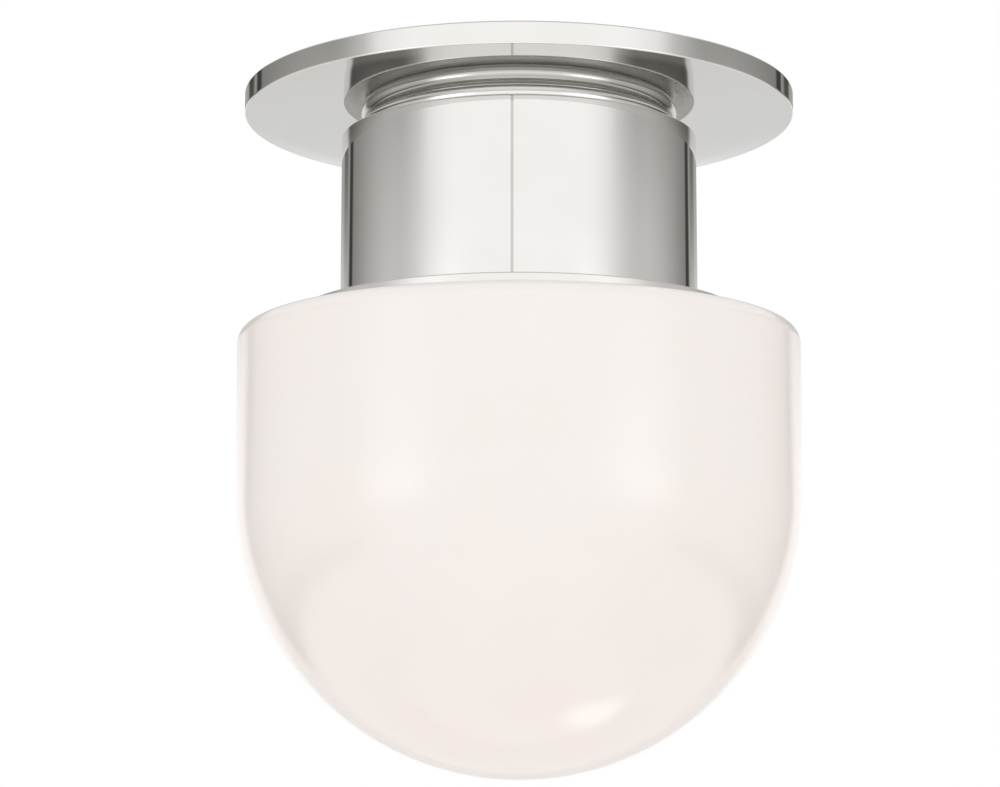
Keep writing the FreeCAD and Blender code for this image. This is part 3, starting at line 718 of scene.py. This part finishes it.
def block(size: tuple[float, float, float], middle: tuple[float, float, float], edge: float = 0.0,
          lean: float = 0.0) -> bpy.types.Mesh:
    """Makes a box.

    Args:
        size: its length along X, Y and Z.
        middle: where its middle lies.
        edge: how far its edges are rounded off.
        lean: its turn about the Y axis.

    Returns:
        The box's mesh.
    """
    mesh = bpy.data.meshes.new("block")
    work = bmesh.new()
    bmesh.ops.create_cube(work, size=1.0)
    bmesh.ops.scale(work, vec=size, verts=work.verts)
    if edge:
        bmesh.ops.bevel(work, geom=work.edges, offset=edge, segments=2, affect="EDGES")
    bmesh.ops.rotate(work, matrix=Matrix.Rotation(lean, 3, "Y"), verts=work.verts)
    bmesh.ops.translate(work, vec=middle, verts=work.verts)
    work.to_mesh(mesh)
    work.free()
    return mesh


def joined(name: str, parts: list[bpy.types.Object]) -> bpy.types.Object:
    """Joins meshes into one object.

    Args:
        name: the new object's name.
        parts: the objects, which are removed.

    Returns:
        The new object.
    """
    work = bmesh.new()
    for part in parts:
        work.from_mesh(part.data)
    mesh = parts[0].data.copy()
    work.to_mesh(mesh)
    work.free()
    whole = new_piece(name, mesh)
    for part in parts:
        bpy.data.objects.remove(part)
    mesh.set_sharp_from_angle(angle=SHARP_ANGLE)
    return whole


def carved(piece: bpy.types.Object, cutters: list[bpy.types.Object]) -> bpy.types.Object:
    """Cuts shapes out of a piece.

    Args:
        piece: the piece.
        cutters: objects of the shapes to cut out, which are removed.

    Returns:
        The piece.
    """
    for cutter in cutters:
        cut = piece.modifiers.new("cut", "BOOLEAN")
        cut.object = cutter
        cut.solver = "EXACT"
    settle(piece)
    for cutter in cutters:
        bpy.data.objects.remove(cutter)
    return piece


def moved(piece: bpy.types.Object, place: Matrix) -> bpy.types.Object:
    """Moves a piece's mesh, and not its object, and returns the piece."""
    piece.data.transform(place)
    return piece


def second_finish(piece: bpy.types.Object, finish: Finish, chosen: Callable[[Vector, Vector], bool]) -> None:
    """Gives some of a piece's faces another finish.

    Args:
        piece: the piece.
        finish: the other finish.
        chosen: tells from a face's centre and normal whether it gets that finish.
    """
    piece.data.materials.append(finish.material)
    index = len(piece.data.materials) - 1
    for face in piece.data.polygons:
        if chosen(face.center, face.normal):
            face.material_index = index


def fit(piece: bpy.types.Object, body: str, finish: Finish, *nodes: str) -> bpy.types.Object:
    """Fixes a piece to its body, in place of the nodes that it stands for.

    Args:
        piece: the finished piece.
        body: the body that it moves with.
        finish: its main finish; not used.
        nodes: the nodes that it replaces.

    Returns:
        The piece.
    """
    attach(piece, body)
    if nodes:
        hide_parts(*nodes)
    LOG.info("%s: %d faces, on %s", piece.name, len(piece.data.polygons), body)
    return piece


@dataclass(frozen=True)
class Span:
    """The place of a round node on the light's axis: its radius, its lowest and its highest level."""

    radius: float
    low: float
    high: float

    @classmethod
    def of(cls, node: str) -> "Span":
        """Reads a node's span from the frame."""
        low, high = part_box(node)
        return cls((high.x - low.x) / 2, low.z, high.z)


# ------------------------------------------------------------------------------------------ polished metal
@dataclass
class Canopy:
    """Shallow spun pan with an upright edge and a mirror-polished underside, crowned a little by spinning."""

    span: Span = field(default_factory=lambda: Span.of("canopy"))
    crown_radius: float = field(default_factory=lambda: Span.of("neck_bead").radius)
    crown: float = CANOPY_CROWN
    edge_width: float = 6.0 * MM
    edge_lift: float = 0.25 * MM
    edge_sweep: float = 250 * MM
    top_round: float = 0.4 * MM
    bore: float = field(default_factory=lambda: Span.of("nipple").radius + HOLE_FIT)
    wall: float = SHEET
    stud_x: float = STUD_X
    stud_hole: float = STUD_HOLE

    def build(self) -> None:
        """Builds the pan, opens its stud holes and leaves its inside as spun."""
        span = self.span
        inside = span.low + self.wall
        pan = turn("spun_canopy", [
            Corner(self.bore, span.low - self.crown), Corner(self.crown_radius, span.low - self.crown),
            Corner(span.radius - self.edge_width, span.low - self.edge_lift, self.edge_sweep),
            Corner(span.radius, span.low, EDGE_ROUND), Corner(span.radius, span.high, self.top_round),
            Corner(span.radius - self.wall, span.high, EDGE_ROUND),
            Corner(span.radius - self.wall, inside, self.wall), Corner(self.bore, inside)],
            Finish.POLISHED_NICKEL)
        foot = span.low - 2 * self.wall
        cutters = [moved(turn("hole", [Corner(0, foot), Corner(self.stud_hole, foot),
                                       Corner(self.stud_hole, span.high), Corner(0, span.high)],
                              Finish.POLISHED_NICKEL, closed=False, steps=SMALL_STEPS),
                         Matrix.Translation((side * self.stud_x, 0, 0))) for side in (-1, 1)]
        pan = carved(pan, cutters)
        second_finish(pan, Finish.SPUN_NICKEL, lambda centre, normal: centre.z > span.low + self.wall / 2
                      and centre.xy.length < span.radius - self.wall / 2)
        fit(pan, "fixture", Finish.POLISHED_NICKEL, "canopy")


@dataclass
class Neck:
    """Bead with a round front, rolled sleeve with its seam, top plate and flange."""

    bead: Span = field(default_factory=lambda: Span.of("neck_bead"))
    sleeve: Span = field(default_factory=lambda: Span.of("sleeve"))
    plate: Span = field(default_factory=lambda: Span.of("top_plate"))
    flange: Span = field(default_factory=lambda: Span.of("flange"))
    bore: float = field(default_factory=lambda: Span.of("nipple").radius + HOLE_FIT)
    bead_radius: float = 40.5 * MM
    bead_wall: float = 2.8 * MM
    bead_half_arc: float = math.radians(58)
    bead_arc_share: float = 0.99
    crevice: float = 0.35 * MM
    canopy_crown: float = CANOPY_CROWN
    sleeve_wall: float = SHEET
    flange_bore: float = 42.6 * MM
    stud_x: float = STUD_X
    stud_hole: float = STUD_HOLE
    seam_angle: float = math.radians(-92.1)
    seam_half: float = 0.35 * MM
    seam_depth: float = 0.4 * MM

    def build(self) -> None:
        """Builds the bead, the sleeve, the plate in its top and the flange."""
        low = self.bead.low
        high = self.bead.high - self.canopy_crown
        middle = (low + high) / 2
        arc = (high - low) / 2 / math.sin(self.bead_half_arc)
        reach = arc * math.tan(self.bead_half_arc / 2)
        # Two corners round the front, each a little tighter than the arc, so that they don't run together
        bend = self.bead_arc_share * arc
        inner = self.bead_radius - self.bead_wall
        seat = self.bead_radius - arc * (1 - math.cos(self.bead_half_arc))
        bead = turn("half_round_bead", [
            Corner(inner, low), Corner(seat, low), Corner(self.bead_radius, middle - reach, bend),
            Corner(self.bead_radius, middle + reach, bend), Corner(seat, high), Corner(inner, high)],
            Finish.POLISHED_NICKEL)
        second_finish(bead, Finish.DULL_NICKEL,
                      lambda centre, normal: min(centre.z - low, high - centre.z) < self.crevice)
        fit(bead, "fixture", Finish.POLISHED_NICKEL, "neck_bead")
        fit(self.rolled_sleeve(), "fixture", Finish.POLISHED_NICKEL, "sleeve")
        fit(self.closing_plate(), "fixture", Finish.POLISHED_NICKEL, "top_plate")
        ring = self.flange
        fit(turn("shade_flange", [
            Corner(self.flange_bore, ring.low), Corner(ring.radius, ring.low, EDGE_ROUND),
            Corner(ring.radius, ring.high, EDGE_ROUND), Corner(self.flange_bore, ring.high)],
            Finish.POLISHED_NICKEL), "fixture", Finish.POLISHED_NICKEL, "flange")

    def rolled_sleeve(self) -> bpy.types.Object:
        """Builds the tube, its wall drawn in to a fine groove where the two edges of the sheet meet.

        Returns:
            The sleeve.
        """
        span = self.sleeve
        inner = span.radius - self.sleeve_wall
        outline = rounded([Corner(inner, span.low), Corner(span.radius, span.low),
                           Corner(span.radius, span.high, EDGE_ROUND), Corner(inner, span.high)], True)
        clear = 4 * self.seam_half / span.radius
        seam_steps = 24
        angles = [clear * (2 * i / seam_steps - 1) for i in range(seam_steps + 1)]
        plain_steps = LARGE_STEPS
        angles += [clear + (math.tau - 2 * clear) * i / plain_steps for i in range(1, plain_steps)]
        facing_up = 0.9
        work = bmesh.new()
        columns = []
        for angle in angles:
            groove = self.seam_depth * max(0.0, 1 - abs(angle) * span.radius / self.seam_half)
            way = Vector((math.cos(angle + self.seam_angle), math.sin(angle + self.seam_angle)))
            column = []
            for r, z in outline:
                reach = r - groove if r > inner + self.sleeve_wall / 2 else r
                column.append(work.verts.new((way.x * reach, way.y * reach, z)))
            columns.append(column)
        for this, following in zip(columns, columns[1:] + columns[:1]):
            for i in range(len(outline)):
                j = (i + 1) % len(outline)
                work.faces.new((this[i], following[i], following[j], this[j]))
        mesh = bpy.data.meshes.new("rolled_sleeve")
        work.to_mesh(mesh)
        work.free()
        mesh.materials.append(Finish.POLISHED_NICKEL.material)
        sleeve = settle(new_piece("rolled_sleeve", mesh))
        second_finish(sleeve, Finish.DULL_NICKEL, lambda centre, normal: normal.z > facing_up)
        return sleeve

    def closing_plate(self) -> bpy.types.Object:
        """Builds the disc in the sleeve's top, with its holes for the nipple and the studs.

        Returns:
            The plate.
        """
        span = self.plate
        holes = [circle(self.stud_hole, side * self.stud_x) for side in (-1, 1)]
        plan = loops(circle(span.radius, steps=LARGE_STEPS), circle(self.bore), *holes)
        plate = make("closing_plate", Maker.STAMP, plan, Finish.DULL_NICKEL, thickness=span.high - span.low)
        return moved(plate, Matrix.Translation((0, 0, span.low)))


# ------------------------------------------------------------------------------------------ shade
@dataclass
class Shade:
    """Opal glass with a straight wall, a half-ball end and a threaded neck, and its silicone seal."""

    glass: Span = field(default_factory=lambda: Span.of("glass_shade"))
    seal: Span = field(default_factory=lambda: Span.of("shade_gasket"))
    wall: float = 3.5 * MM
    shoulder_round: float = 4.0 * MM
    neck_radius: float = 40.5 * MM
    lip_round: float = 1.0 * MM
    seal_width: float = 9.0 * MM
    seal_round: float = 0.3 * MM
    pitch: float = 4.0 * MM
    turns: float = 1.5
    ridge_depth: float = 1.5 * MM
    ridge_foot: float = 1.8 * MM
    ridge_crest: float = 0.8 * MM
    ridge_start: float = -57.4 * MM

    def build(self) -> None:
        """Builds the glass with its thread, and the seal on its shoulder."""
        glass = self.glass
        shoulder = self.seal.low
        inside = glass.radius - self.wall
        bore = self.neck_radius - self.wall
        blown = turn("opal_shade", [
            Corner(0, glass.low), Corner(glass.radius, glass.low, glass.radius),
            Corner(glass.radius, shoulder, self.shoulder_round),
            Corner(self.neck_radius, shoulder, self.lip_round),
            Corner(self.neck_radius, glass.high, self.lip_round), Corner(bore, glass.high, self.lip_round),
            Corner(bore, shoulder - self.wall, self.lip_round),
            Corner(inside, shoulder - self.wall, self.lip_round),
            Corner(inside, glass.low + self.wall, inside), Corner(0, glass.low + self.wall)],
            Finish.OPAL_GLASS, closed=False)
        shade = make("opal_shade", Maker.THREAD, blown.data, Finish.OPAL_GLASS, radius=self.neck_radius,
                     depth=self.ridge_depth, bury=self.wall / 4, foot_width=self.ridge_foot,
                     crest_width=self.ridge_crest, pitch=self.pitch, turns=self.turns, start=self.ridge_start)
        bpy.data.objects.remove(blown)
        shade.name = "opal_glass_shade"
        fit(shade, "shade", Finish.OPAL_GLASS, "glass_shade")
        seal = self.seal
        inner = seal.radius - self.seal_width
        fit(turn("silicone_seal", [
            Corner(inner, seal.low, self.seal_round), Corner(seal.radius, seal.low, self.seal_round),
            Corner(seal.radius, seal.high, self.seal_round), Corner(inner, seal.high, self.seal_round)],
            Finish.SILICONE), "seal", Finish.SILICONE, "shade_gasket")


# ------------------------------------------------------------------------------------------ ceiling hardware
@dataclass
class CeilingHardware:
    """Stamped crossbar and the two threaded studs that carry the light."""

    bar_bevel: float = 0.25 * MM
    centre_hole: float = 8.0 * MM
    slot_spacing: float = 88.9 * MM
    slot_length: float = 12.0 * MM
    slot_width: float = 4.6 * MM
    ground_x: float = 20.0 * MM
    tapped_steps: int = 36
    stud_x: float = STUD_X
    stud_radius: float = 2.08 * MM
    stud_steps: int = 48
    stud_pitch: float = 0.794 * MM
    stud_thread: float = 0.33 * MM
    thread_foot_share: float = 0.9
    head_radius: float = 3.6 * MM
    head_height: float = 2.3 * MM
    head_slot: float = 1.0 * MM

    def build(self) -> None:
        """Builds the bar and the studs."""
        fit(self.crossbar(), "fixture", Finish.ZINC_STEEL, "crossbar")
        studs = [moved(self.stud(), Matrix.Translation((side * self.stud_x, 0, 0))) for side in (-1, 1)]
        fit(joined("threaded_studs", studs), "fixture", Finish.ZINC_STEEL, "mounting_studs")

    def outlines(self, inset: float) -> list[list[Vector]]:
        """The bar's outline and those of its holes and slots.

        Args:
            inset: how far each lies back from the cut edge.

        Returns:
            A list of points for each outline.
        """
        low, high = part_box("crossbar")
        width = high.y - low.y
        tapped = self.stud_radius + THREAD_FIT + inset
        slot_width = self.slot_width + 2 * inset
        plans = [rounded_plan(high.x - low.x - 2 * inset, width - 2 * inset, width / 4 - inset),
                 circle(self.centre_hole + inset), circle(tapped, self.ground_x, steps=self.tapped_steps)]
        for side in (-1, 1):
            plans.append(circle(tapped, side * self.stud_x, steps=self.tapped_steps))
            plans.append(rounded_plan(self.slot_length + 2 * inset, slot_width, slot_width / 2,
                                      side * self.slot_spacing / 2))
        return plans

    def crossbar(self) -> bpy.types.Object:
        """Stamps the bar with its slots and holes, and breaks its edges.

        Returns:
            The bar.
        """
        low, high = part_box("crossbar")
        thickness = high.z - low.z
        bevel = self.bar_bevel
        upright = 0.5
        faces = self.outlines(bevel)
        bar = make("ceiling_crossbar", Maker.STAMP, loops(*faces), Finish.ZINC_STEEL, thickness=thickness)
        work = bmesh.new()
        work.from_mesh(bar.data)
        walls = [face for face in work.faces if abs(face.normal.z) < upright]
        bmesh.ops.delete(work, geom=walls, context="FACES")
        for face, cut in zip(faces, self.outlines(0.0)):
            levels = ((face, 0.0), (cut, bevel), (cut, thickness - bevel), (face, thickness))
            rings = [[work.verts.new((spot.x, spot.y, z)) for spot in ring] for ring, z in levels]
            for this, following in zip(rings, rings[1:]):
                for i in range(len(this)):
                    work.faces.new((this[i - 1], this[i], following[i], following[i - 1]))
        work.to_mesh(bar.data)
        work.free()
        return moved(settle(bar), Matrix.Translation((0, 0, low.z)))

    def stud(self) -> bpy.types.Object:
        """Builds one stud on the axis: a slotted round head and a shank with a cut thread.

        Returns:
            The stud.
        """
        low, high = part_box("mounting_studs")
        seat = high.z - self.head_height
        core = self.stud_radius - self.stud_thread
        blank = turn("stud", [Corner(0, low.z), Corner(core, low.z, core / 3), Corner(core, seat),
                              Corner(self.head_radius, seat, self.head_slot / 5),
                              Corner(self.head_radius, high.z, self.head_height / 2), Corner(0, high.z)],
                     Finish.ZINC_STEEL, closed=False, steps=self.stud_steps)
        slot = block((3 * self.head_radius, self.head_slot, 2 * self.head_slot), (0, 0, high.z))
        blank = carved(blank, [new_piece("slot", slot)])
        length = seat - low.z
        turns = math.floor(length / self.stud_pitch) - 1
        threaded = make("stud_threaded", Maker.THREAD, blank.data, Finish.ZINC_STEEL, radius=core,
                        depth=self.stud_thread, bury=self.stud_thread / 3, pitch=self.stud_pitch,
                        foot_width=self.stud_pitch * self.thread_foot_share, crest_width=self.stud_pitch / 8,
                        turns=float(turns), start=low.z + self.stud_pitch)
        bpy.data.objects.remove(blank)
        return threaded


# ------------------------------------------------------------------------------------------ leads
@dataclass
class Leads:
    """Two insulated leads from the holder's terminals to their ribbed twist-on connectors."""

    radius: float = 1.1 * MM
    offset: float = 1.35 * MM
    bend: float = 3.4 * MM
    terminal_x: float = 8.1 * MM
    terminal_z: float = -28.9 * MM
    splay_x: float = 8.0 * MM
    splay_y: float = 7.5 * MM
    rise: float = 7.6 * MM
    inside_connector: float = 5.0 * MM
    mouth_round: float = 0.3 * MM
    rim_round: float = 0.4 * MM
    shoulder_round: float = 2.0 * MM
    tip_round: float = 1.0 * MM
    tip_radius: float = 2.6 * MM
    skirt_share: float = 0.4
    ribs: int = 14
    rib_width: float = 0.7 * MM
    rib_edge_share: float = 0.3
    rib_length_share: float = 0.78
    rib_middle_share: float = 0.44

    def build(self) -> None:
        """Builds both leads and both connectors."""
        low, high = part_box("wire_connectors")
        for side, name, finish in ((1, "lead_live", Finish.BLACK_WIRE),
                                   (-1, "lead_neutral", Finish.WHITE_WIRE)):
            x = side * self.offset
            far_x = side * self.splay_x
            route = [Vector((side * self.terminal_x, 0, self.terminal_z)), Vector((x, 0, self.terminal_z)),
                     Vector((x, 0, self.rise)), Vector((far_x, self.splay_y, self.rise)),
                     Vector((far_x, low.y + self.inside_connector, self.rise))]
            wire = make("insulated_" + name, Maker.WIRE, loops(route, closed=False), finish,
                        radius=self.radius, bend=self.bend)
            fit(wire, "fixture", finish, name)
        caps = [moved(self.connector(high.y - low.y, (high.z - low.z) / 2),
                      Matrix.Translation((side * self.splay_x, low.y, self.rise)) @ Matrix.Rotation(
                          -math.pi / 2, 4, "X")) for side in (-1, 1)]
        fit(joined("ribbed_connectors", caps), "fixture", Finish.CONNECTOR_PLASTIC, "wire_connectors")

    def connector(self, length: float, radius: float) -> bpy.types.Object:
        """Builds one upright connector: a stepped cone with a bored mouth and gripping ribs.

        Args:
            length: its length.
            radius: its widest radius, over the ribs.

        Returns:
            The connector, its mouth at the origin.
        """
        finish = Finish.CONNECTOR_PLASTIC
        body_radius = radius - self.rib_width / 3
        skirt = self.skirt_share * length
        cone = length - skirt
        bore = self.radius + THREAD_FIT
        body = turn("connector", [
            Corner(0, self.inside_connector), Corner(bore, self.inside_connector),
            Corner(bore, 0, self.mouth_round), Corner(body_radius, 0, self.rim_round),
            Corner(body_radius, skirt, self.shoulder_round), Corner(self.tip_radius, length, self.tip_round),
            Corner(0, length)], finish, closed=False)
        rib = block((self.rib_width, self.rib_width, cone * self.rib_length_share),
                    (0, 0, skirt + cone * self.rib_middle_share), self.rib_width * self.rib_edge_share,
                    -math.atan2(body_radius - self.tip_radius, cone))
        ribs = make("connector_ribs", Maker.RING, rib, finish, count=self.ribs,
                    radius=(body_radius + self.tip_radius) / 2)
        return joined("connector_whole", [body, ribs])


# ------------------------------------------------------------------------------------------ lamp
@dataclass
class Lamp:
    """The rings of light sources on the lamp's board. The lamp's other pieces keep their solids."""

    board: Span = field(default_factory=lambda: Span.of("led_board"))
    chip: float = 2.8 * MM
    chip_height: float = 0.7 * MM
    rings: tuple[tuple[int, float], ...] = ((8, 9.5 * MM), (16, 18.5 * MM))

    def build(self) -> None:
        """Builds the rings of chips on the board's underside."""
        rings = []
        for count, radius in self.rings:
            chip = block((self.chip, self.chip, self.chip_height),
                         (0, 0, self.board.low - self.chip_height / 2), self.chip_height / 5)
            rings.append(make("chips", Maker.RING, chip, Finish.FROSTED_PLASTIC, count=count, radius=radius))
        fit(joined("light_source_chips", rings), "lamp", Finish.FROSTED_PLASTIC)


CARRIED = {
    Finish.ZINC_STEEL: ("stud_locknuts", "stud_washers", "nipple", "nipple_nuts"),
    Finish.NICKEL_BRASS: ("cap_nuts", "terminal_screws", "centre_contact"),
    Finish.GREEN_SCREW: ("ground_screw",),
    Finish.TURNED_ALUMINIUM: ("shade_collar", "holder_cap"),
    Finish.NYLON: ("wire_bushing",),
    Finish.PORCELAIN: ("holder_body",),
    Finish.BRASS_CAP: ("screw_shell", "lamp_cap"),
    Finish.SOLDER: ("tip_contact",),
    Finish.BLACK_GLASS: ("cap_insulator",),
    Finish.WHITE_PLASTIC: ("lamp_housing",),
    Finish.CIRCUIT_BOARD: ("led_board",),
    Finish.FROSTED_PLASTIC: ("lamp_diffuser",),
}


def dress_carried() -> None:
    """Gives each solid that stays as it is its finish."""
    for finish, nodes in CARRIED.items():
        for node in nodes:
            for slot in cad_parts[node].material_slots:
                slot.material = finish.material
            LOG.info("%s: carried over in %s", node, finish.value.name)


# ------------------------------------------------------------------------------------------ studio
class Side(Enum):
    """Where a panel stands, seen from the camera."""

    BOTH = "one on each side"
    RIGHT = "right"


@dataclass(frozen=True)
class Panel:
    """A board, soft box or dark flag of the studio, as polished surfaces see it.

    Its middle and sizes are in degrees, the azimuth counted from the camera. A level of 1 is plain white.
    """

    azimuth: float
    elevation: float
    width: float
    height: float
    soft: float
    level: float
    side: Side = Side.BOTH


@dataclass
class Studio:
    """White studio: camera at the photograph's angle, pale floor and the boards that metal reflects."""

    camera_place: tuple[float, float, float] = (0.0, -0.7056, -0.1919)
    camera_pitch: float = math.radians(9.29)
    lens: float = 101.95
    shift: float = -0.01897
    floor_level: float = -1.5
    floor_half: float = 30.0
    floor_colour: str = "#FBF7F4"
    floor_roughness: float = 0.9
    bounces: int = 12
    front_light: Colour = (1.05, 1.06, 1.06, 1.0)
    back_light: Colour = (0.92, 0.82, 0.80, 1.0)
    dark_tint: Colour = (1.01, 1.0, 0.94, 1.0)
    backdrop: float = 0.8
    end_blur: float = 8.0
    panels: tuple[Panel, ...] = (
        # White floor with more light on it under the fitting, a lamp box in front, and a grey roof
        Panel(0, -65, 400, 80, 10, 1.0),
        Panel(0, -75, 400, 36, 10, 1.3),
        Panel(0, -42, 90, 30, 40, 1.35),
        Panel(0, 65, 400, 70, 10, 0.7),
        # Grey band above the middle of the backdrop, which is white
        Panel(180, 18, 74, 16, 8, 0.4),
        Panel(180, 0, 130, 20, 20, 1.1),
        # Grey side walls on a dark skirting, each with a lighter screen that fades out towards its ends
        Panel(103, 2, 82, 44, 10, 0.25),
        Panel(105, -17, 80, 8, 12, 0.12),
        Panel(70, 0, 90, 31, 60, 0.72),
        # White wall in front, and a soft box near each end of it
        Panel(0, 5, 124, 60, 44, 1.25),
        Panel(49, 1, 24, 16, 20, 2.4),
        # Narrow dark flags beside the backdrop
        Panel(138, 14, 6, 13, 3, 0.06),
        Panel(150, 20, 10, 13, 6, 0.02),
        # Small soft lamp low behind, which the glass shows as a bright patch
        Panel(138, -63, 26, 14, 20, 2.8, Side.RIGHT),
    )

    def build(self) -> None:
        """Builds the camera, the floor and the world."""
        scene = bpy.context.scene
        scene.view_settings.view_transform = "Standard"
        # Light passes to and fro between the mirrors of canopy, bead and sleeve
        scene.cycles.glossy_bounces = self.bounces
        camera = bpy.data.objects.new("camera", bpy.data.cameras.new("camera"))
        camera.data.lens = self.lens
        camera.data.shift_x = self.shift
        camera.location = self.camera_place
        camera.rotation_euler = (math.pi / 2 + self.camera_pitch, 0.0, 0.0)
        scene.collection.objects.link(camera)
        scene.camera = camera
        self.floor()
        self.world()
        LOG.info("studio: camera, floor and world")

    def floor(self) -> None:
        """Lays a pale matt floor well below the light, out of the reflections in the metal."""
        half = self.floor_half
        mesh = bpy.data.meshes.new("floor")
        mesh.from_pydata([(-half, -half, 0), (half, -half, 0), (half, half, 0), (-half, half, 0)], [],
                         [(0, 1, 2, 3)])
        mesh.transform(Matrix.Translation((0, 0, self.floor_level)))
        floor = new_piece("floor", mesh)
        material, tree, shader = start_material("floor_matt_paint")
        shader.inputs["Base Color"].default_value = linear(self.floor_colour)
        shader.inputs["Roughness"].default_value = self.floor_roughness
        mesh.materials.append(material)
        floor.visible_glossy = False

    def world(self) -> None:
        """Builds the surroundings: white behind, soft light all round, and panels for polished surfaces."""
        world = bpy.data.worlds.new("studio")
        bpy.context.scene.world = world
        world.use_nodes = True
        tree = world.node_tree
        tree.nodes.clear()
        way = add_node(tree, "ShaderNodeTexCoord").outputs["Generated"]
        parts = add_node(tree, "ShaderNodeSeparateXYZ", {0: way}).outputs
        front = add_node(tree, "ShaderNodeMath", {0: parts["Y"], 1: -1.0}, operation="MULTIPLY")
        level = self.rig(tree, parts, front)
        bright = add_node(tree, "ShaderNodeMapRange", {"Value": level}, interpolation_type="SMOOTHSTEP")
        tone = add_node(tree, "ShaderNodeMix", {0: bright, 6: self.dark_tint, 7: WHITE}, data_type="RGBA")
        reflected = add_node(tree, "ShaderNodeBackground", {"Color": tone.outputs[2], "Strength": level})
        ahead = add_node(tree, "ShaderNodeMapRange", {"Value": front, "From Min": -1.0},
                         interpolation_type="SMOOTHSTEP")
        lit = add_node(tree, "ShaderNodeMix", {0: ahead, 6: self.back_light, 7: self.front_light},
                       data_type="RGBA")
        soft = add_node(tree, "ShaderNodeBackground", {"Color": lit.outputs[2], "Strength": 1.0})
        white = add_node(tree, "ShaderNodeBackground", {"Color": WHITE, "Strength": 1.0})
        ray = add_node(tree, "ShaderNodeLightPath").outputs
        seen = add_node(tree, "ShaderNodeMath", {0: ray["Is Camera Ray"], 1: ray["Is Transmission Ray"]},
                        operation="MAXIMUM")
        gloss = add_node(tree, "ShaderNodeMixShader", {0: ray["Is Glossy Ray"], 1: soft, 2: reflected})
        final = add_node(tree, "ShaderNodeMixShader", {0: seen, 1: gloss, 2: white})
        add_node(tree, "ShaderNodeOutputWorld", {"Surface": final})

    def rig(self, tree: bpy.types.NodeTree, parts: bpy.types.NodeOutputs,
            front: bpy.types.Node) -> bpy.types.Node | float:
        """Sets up the panels, each in front of the one before.

        Args:
            tree: the world's tree.
            parts: the X, Y and Z of the direction that is looked in.
            front: how far the direction points to the camera's side.

        Returns:
            The node of the level.
        """
        turned = add_node(tree, "ShaderNodeMath", {0: parts["X"], 1: front}, operation="ARCTAN2")
        azimuth = add_node(tree, "ShaderNodeMath", {0: turned}, operation="DEGREES")
        around = {Side.BOTH: add_node(tree, "ShaderNodeMath", {0: azimuth}, operation="ABSOLUTE"),
                  Side.RIGHT: azimuth}
        risen = add_node(tree, "ShaderNodeMath", {0: parts["Z"]}, operation="ARCSINE")
        elevation = add_node(tree, "ShaderNodeMath", {0: risen}, operation="DEGREES")
        level = self.backdrop
        for panel in self.panels:
            wide = self.cover(tree, around[panel.side], panel.azimuth, panel.width, panel.soft)
            tall = self.cover(tree, elevation, panel.elevation, panel.height,
                              min(panel.height, self.end_blur))
            share = add_node(tree, "ShaderNodeMath", {0: wide, 1: tall}, operation="MULTIPLY")
            level = add_node(tree, "ShaderNodeMix", {0: share, 2: level, 3: panel.level}, data_type="FLOAT")
        return level

    @staticmethod
    def cover(tree: bpy.types.NodeTree, angle: bpy.types.Node, middle: float, size: float,
              soft: float) -> bpy.types.Node:
        """How much of a panel lies at an angle: 1 on it, 0 off it and between them over its soft edges.

        Args:
            tree: the world's tree.
            angle: the node of the angle, in degrees.
            middle: the panel's middle.
            size: its full size.
            soft: the width of its soft edges.

        Returns:
            The node of the cover.
        """
        past = add_node(tree, "ShaderNodeMath", {0: angle, 1: middle}, operation="SUBTRACT")
        off = add_node(tree, "ShaderNodeMath", {0: past}, operation="ABSOLUTE")
        return add_node(tree, "ShaderNodeMapRange",
                        {"Value": off, "From Min": (size + soft) / 2, "From Max": (size - soft) / 2},
                        interpolation_type="SMOOTHSTEP")


def main() -> None:
    """Builds the studio and every sub-assembly in order."""
    logging.basicConfig(level=logging.INFO, format="%(name)s: %(message)s")
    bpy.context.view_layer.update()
    for assembly in (Studio(), Canopy(), Neck(), Shade(), CeilingHardware(), Leads(), Lamp()):
        assembly.build()
    dress_carried()


if __name__ == "__main__":
    main()
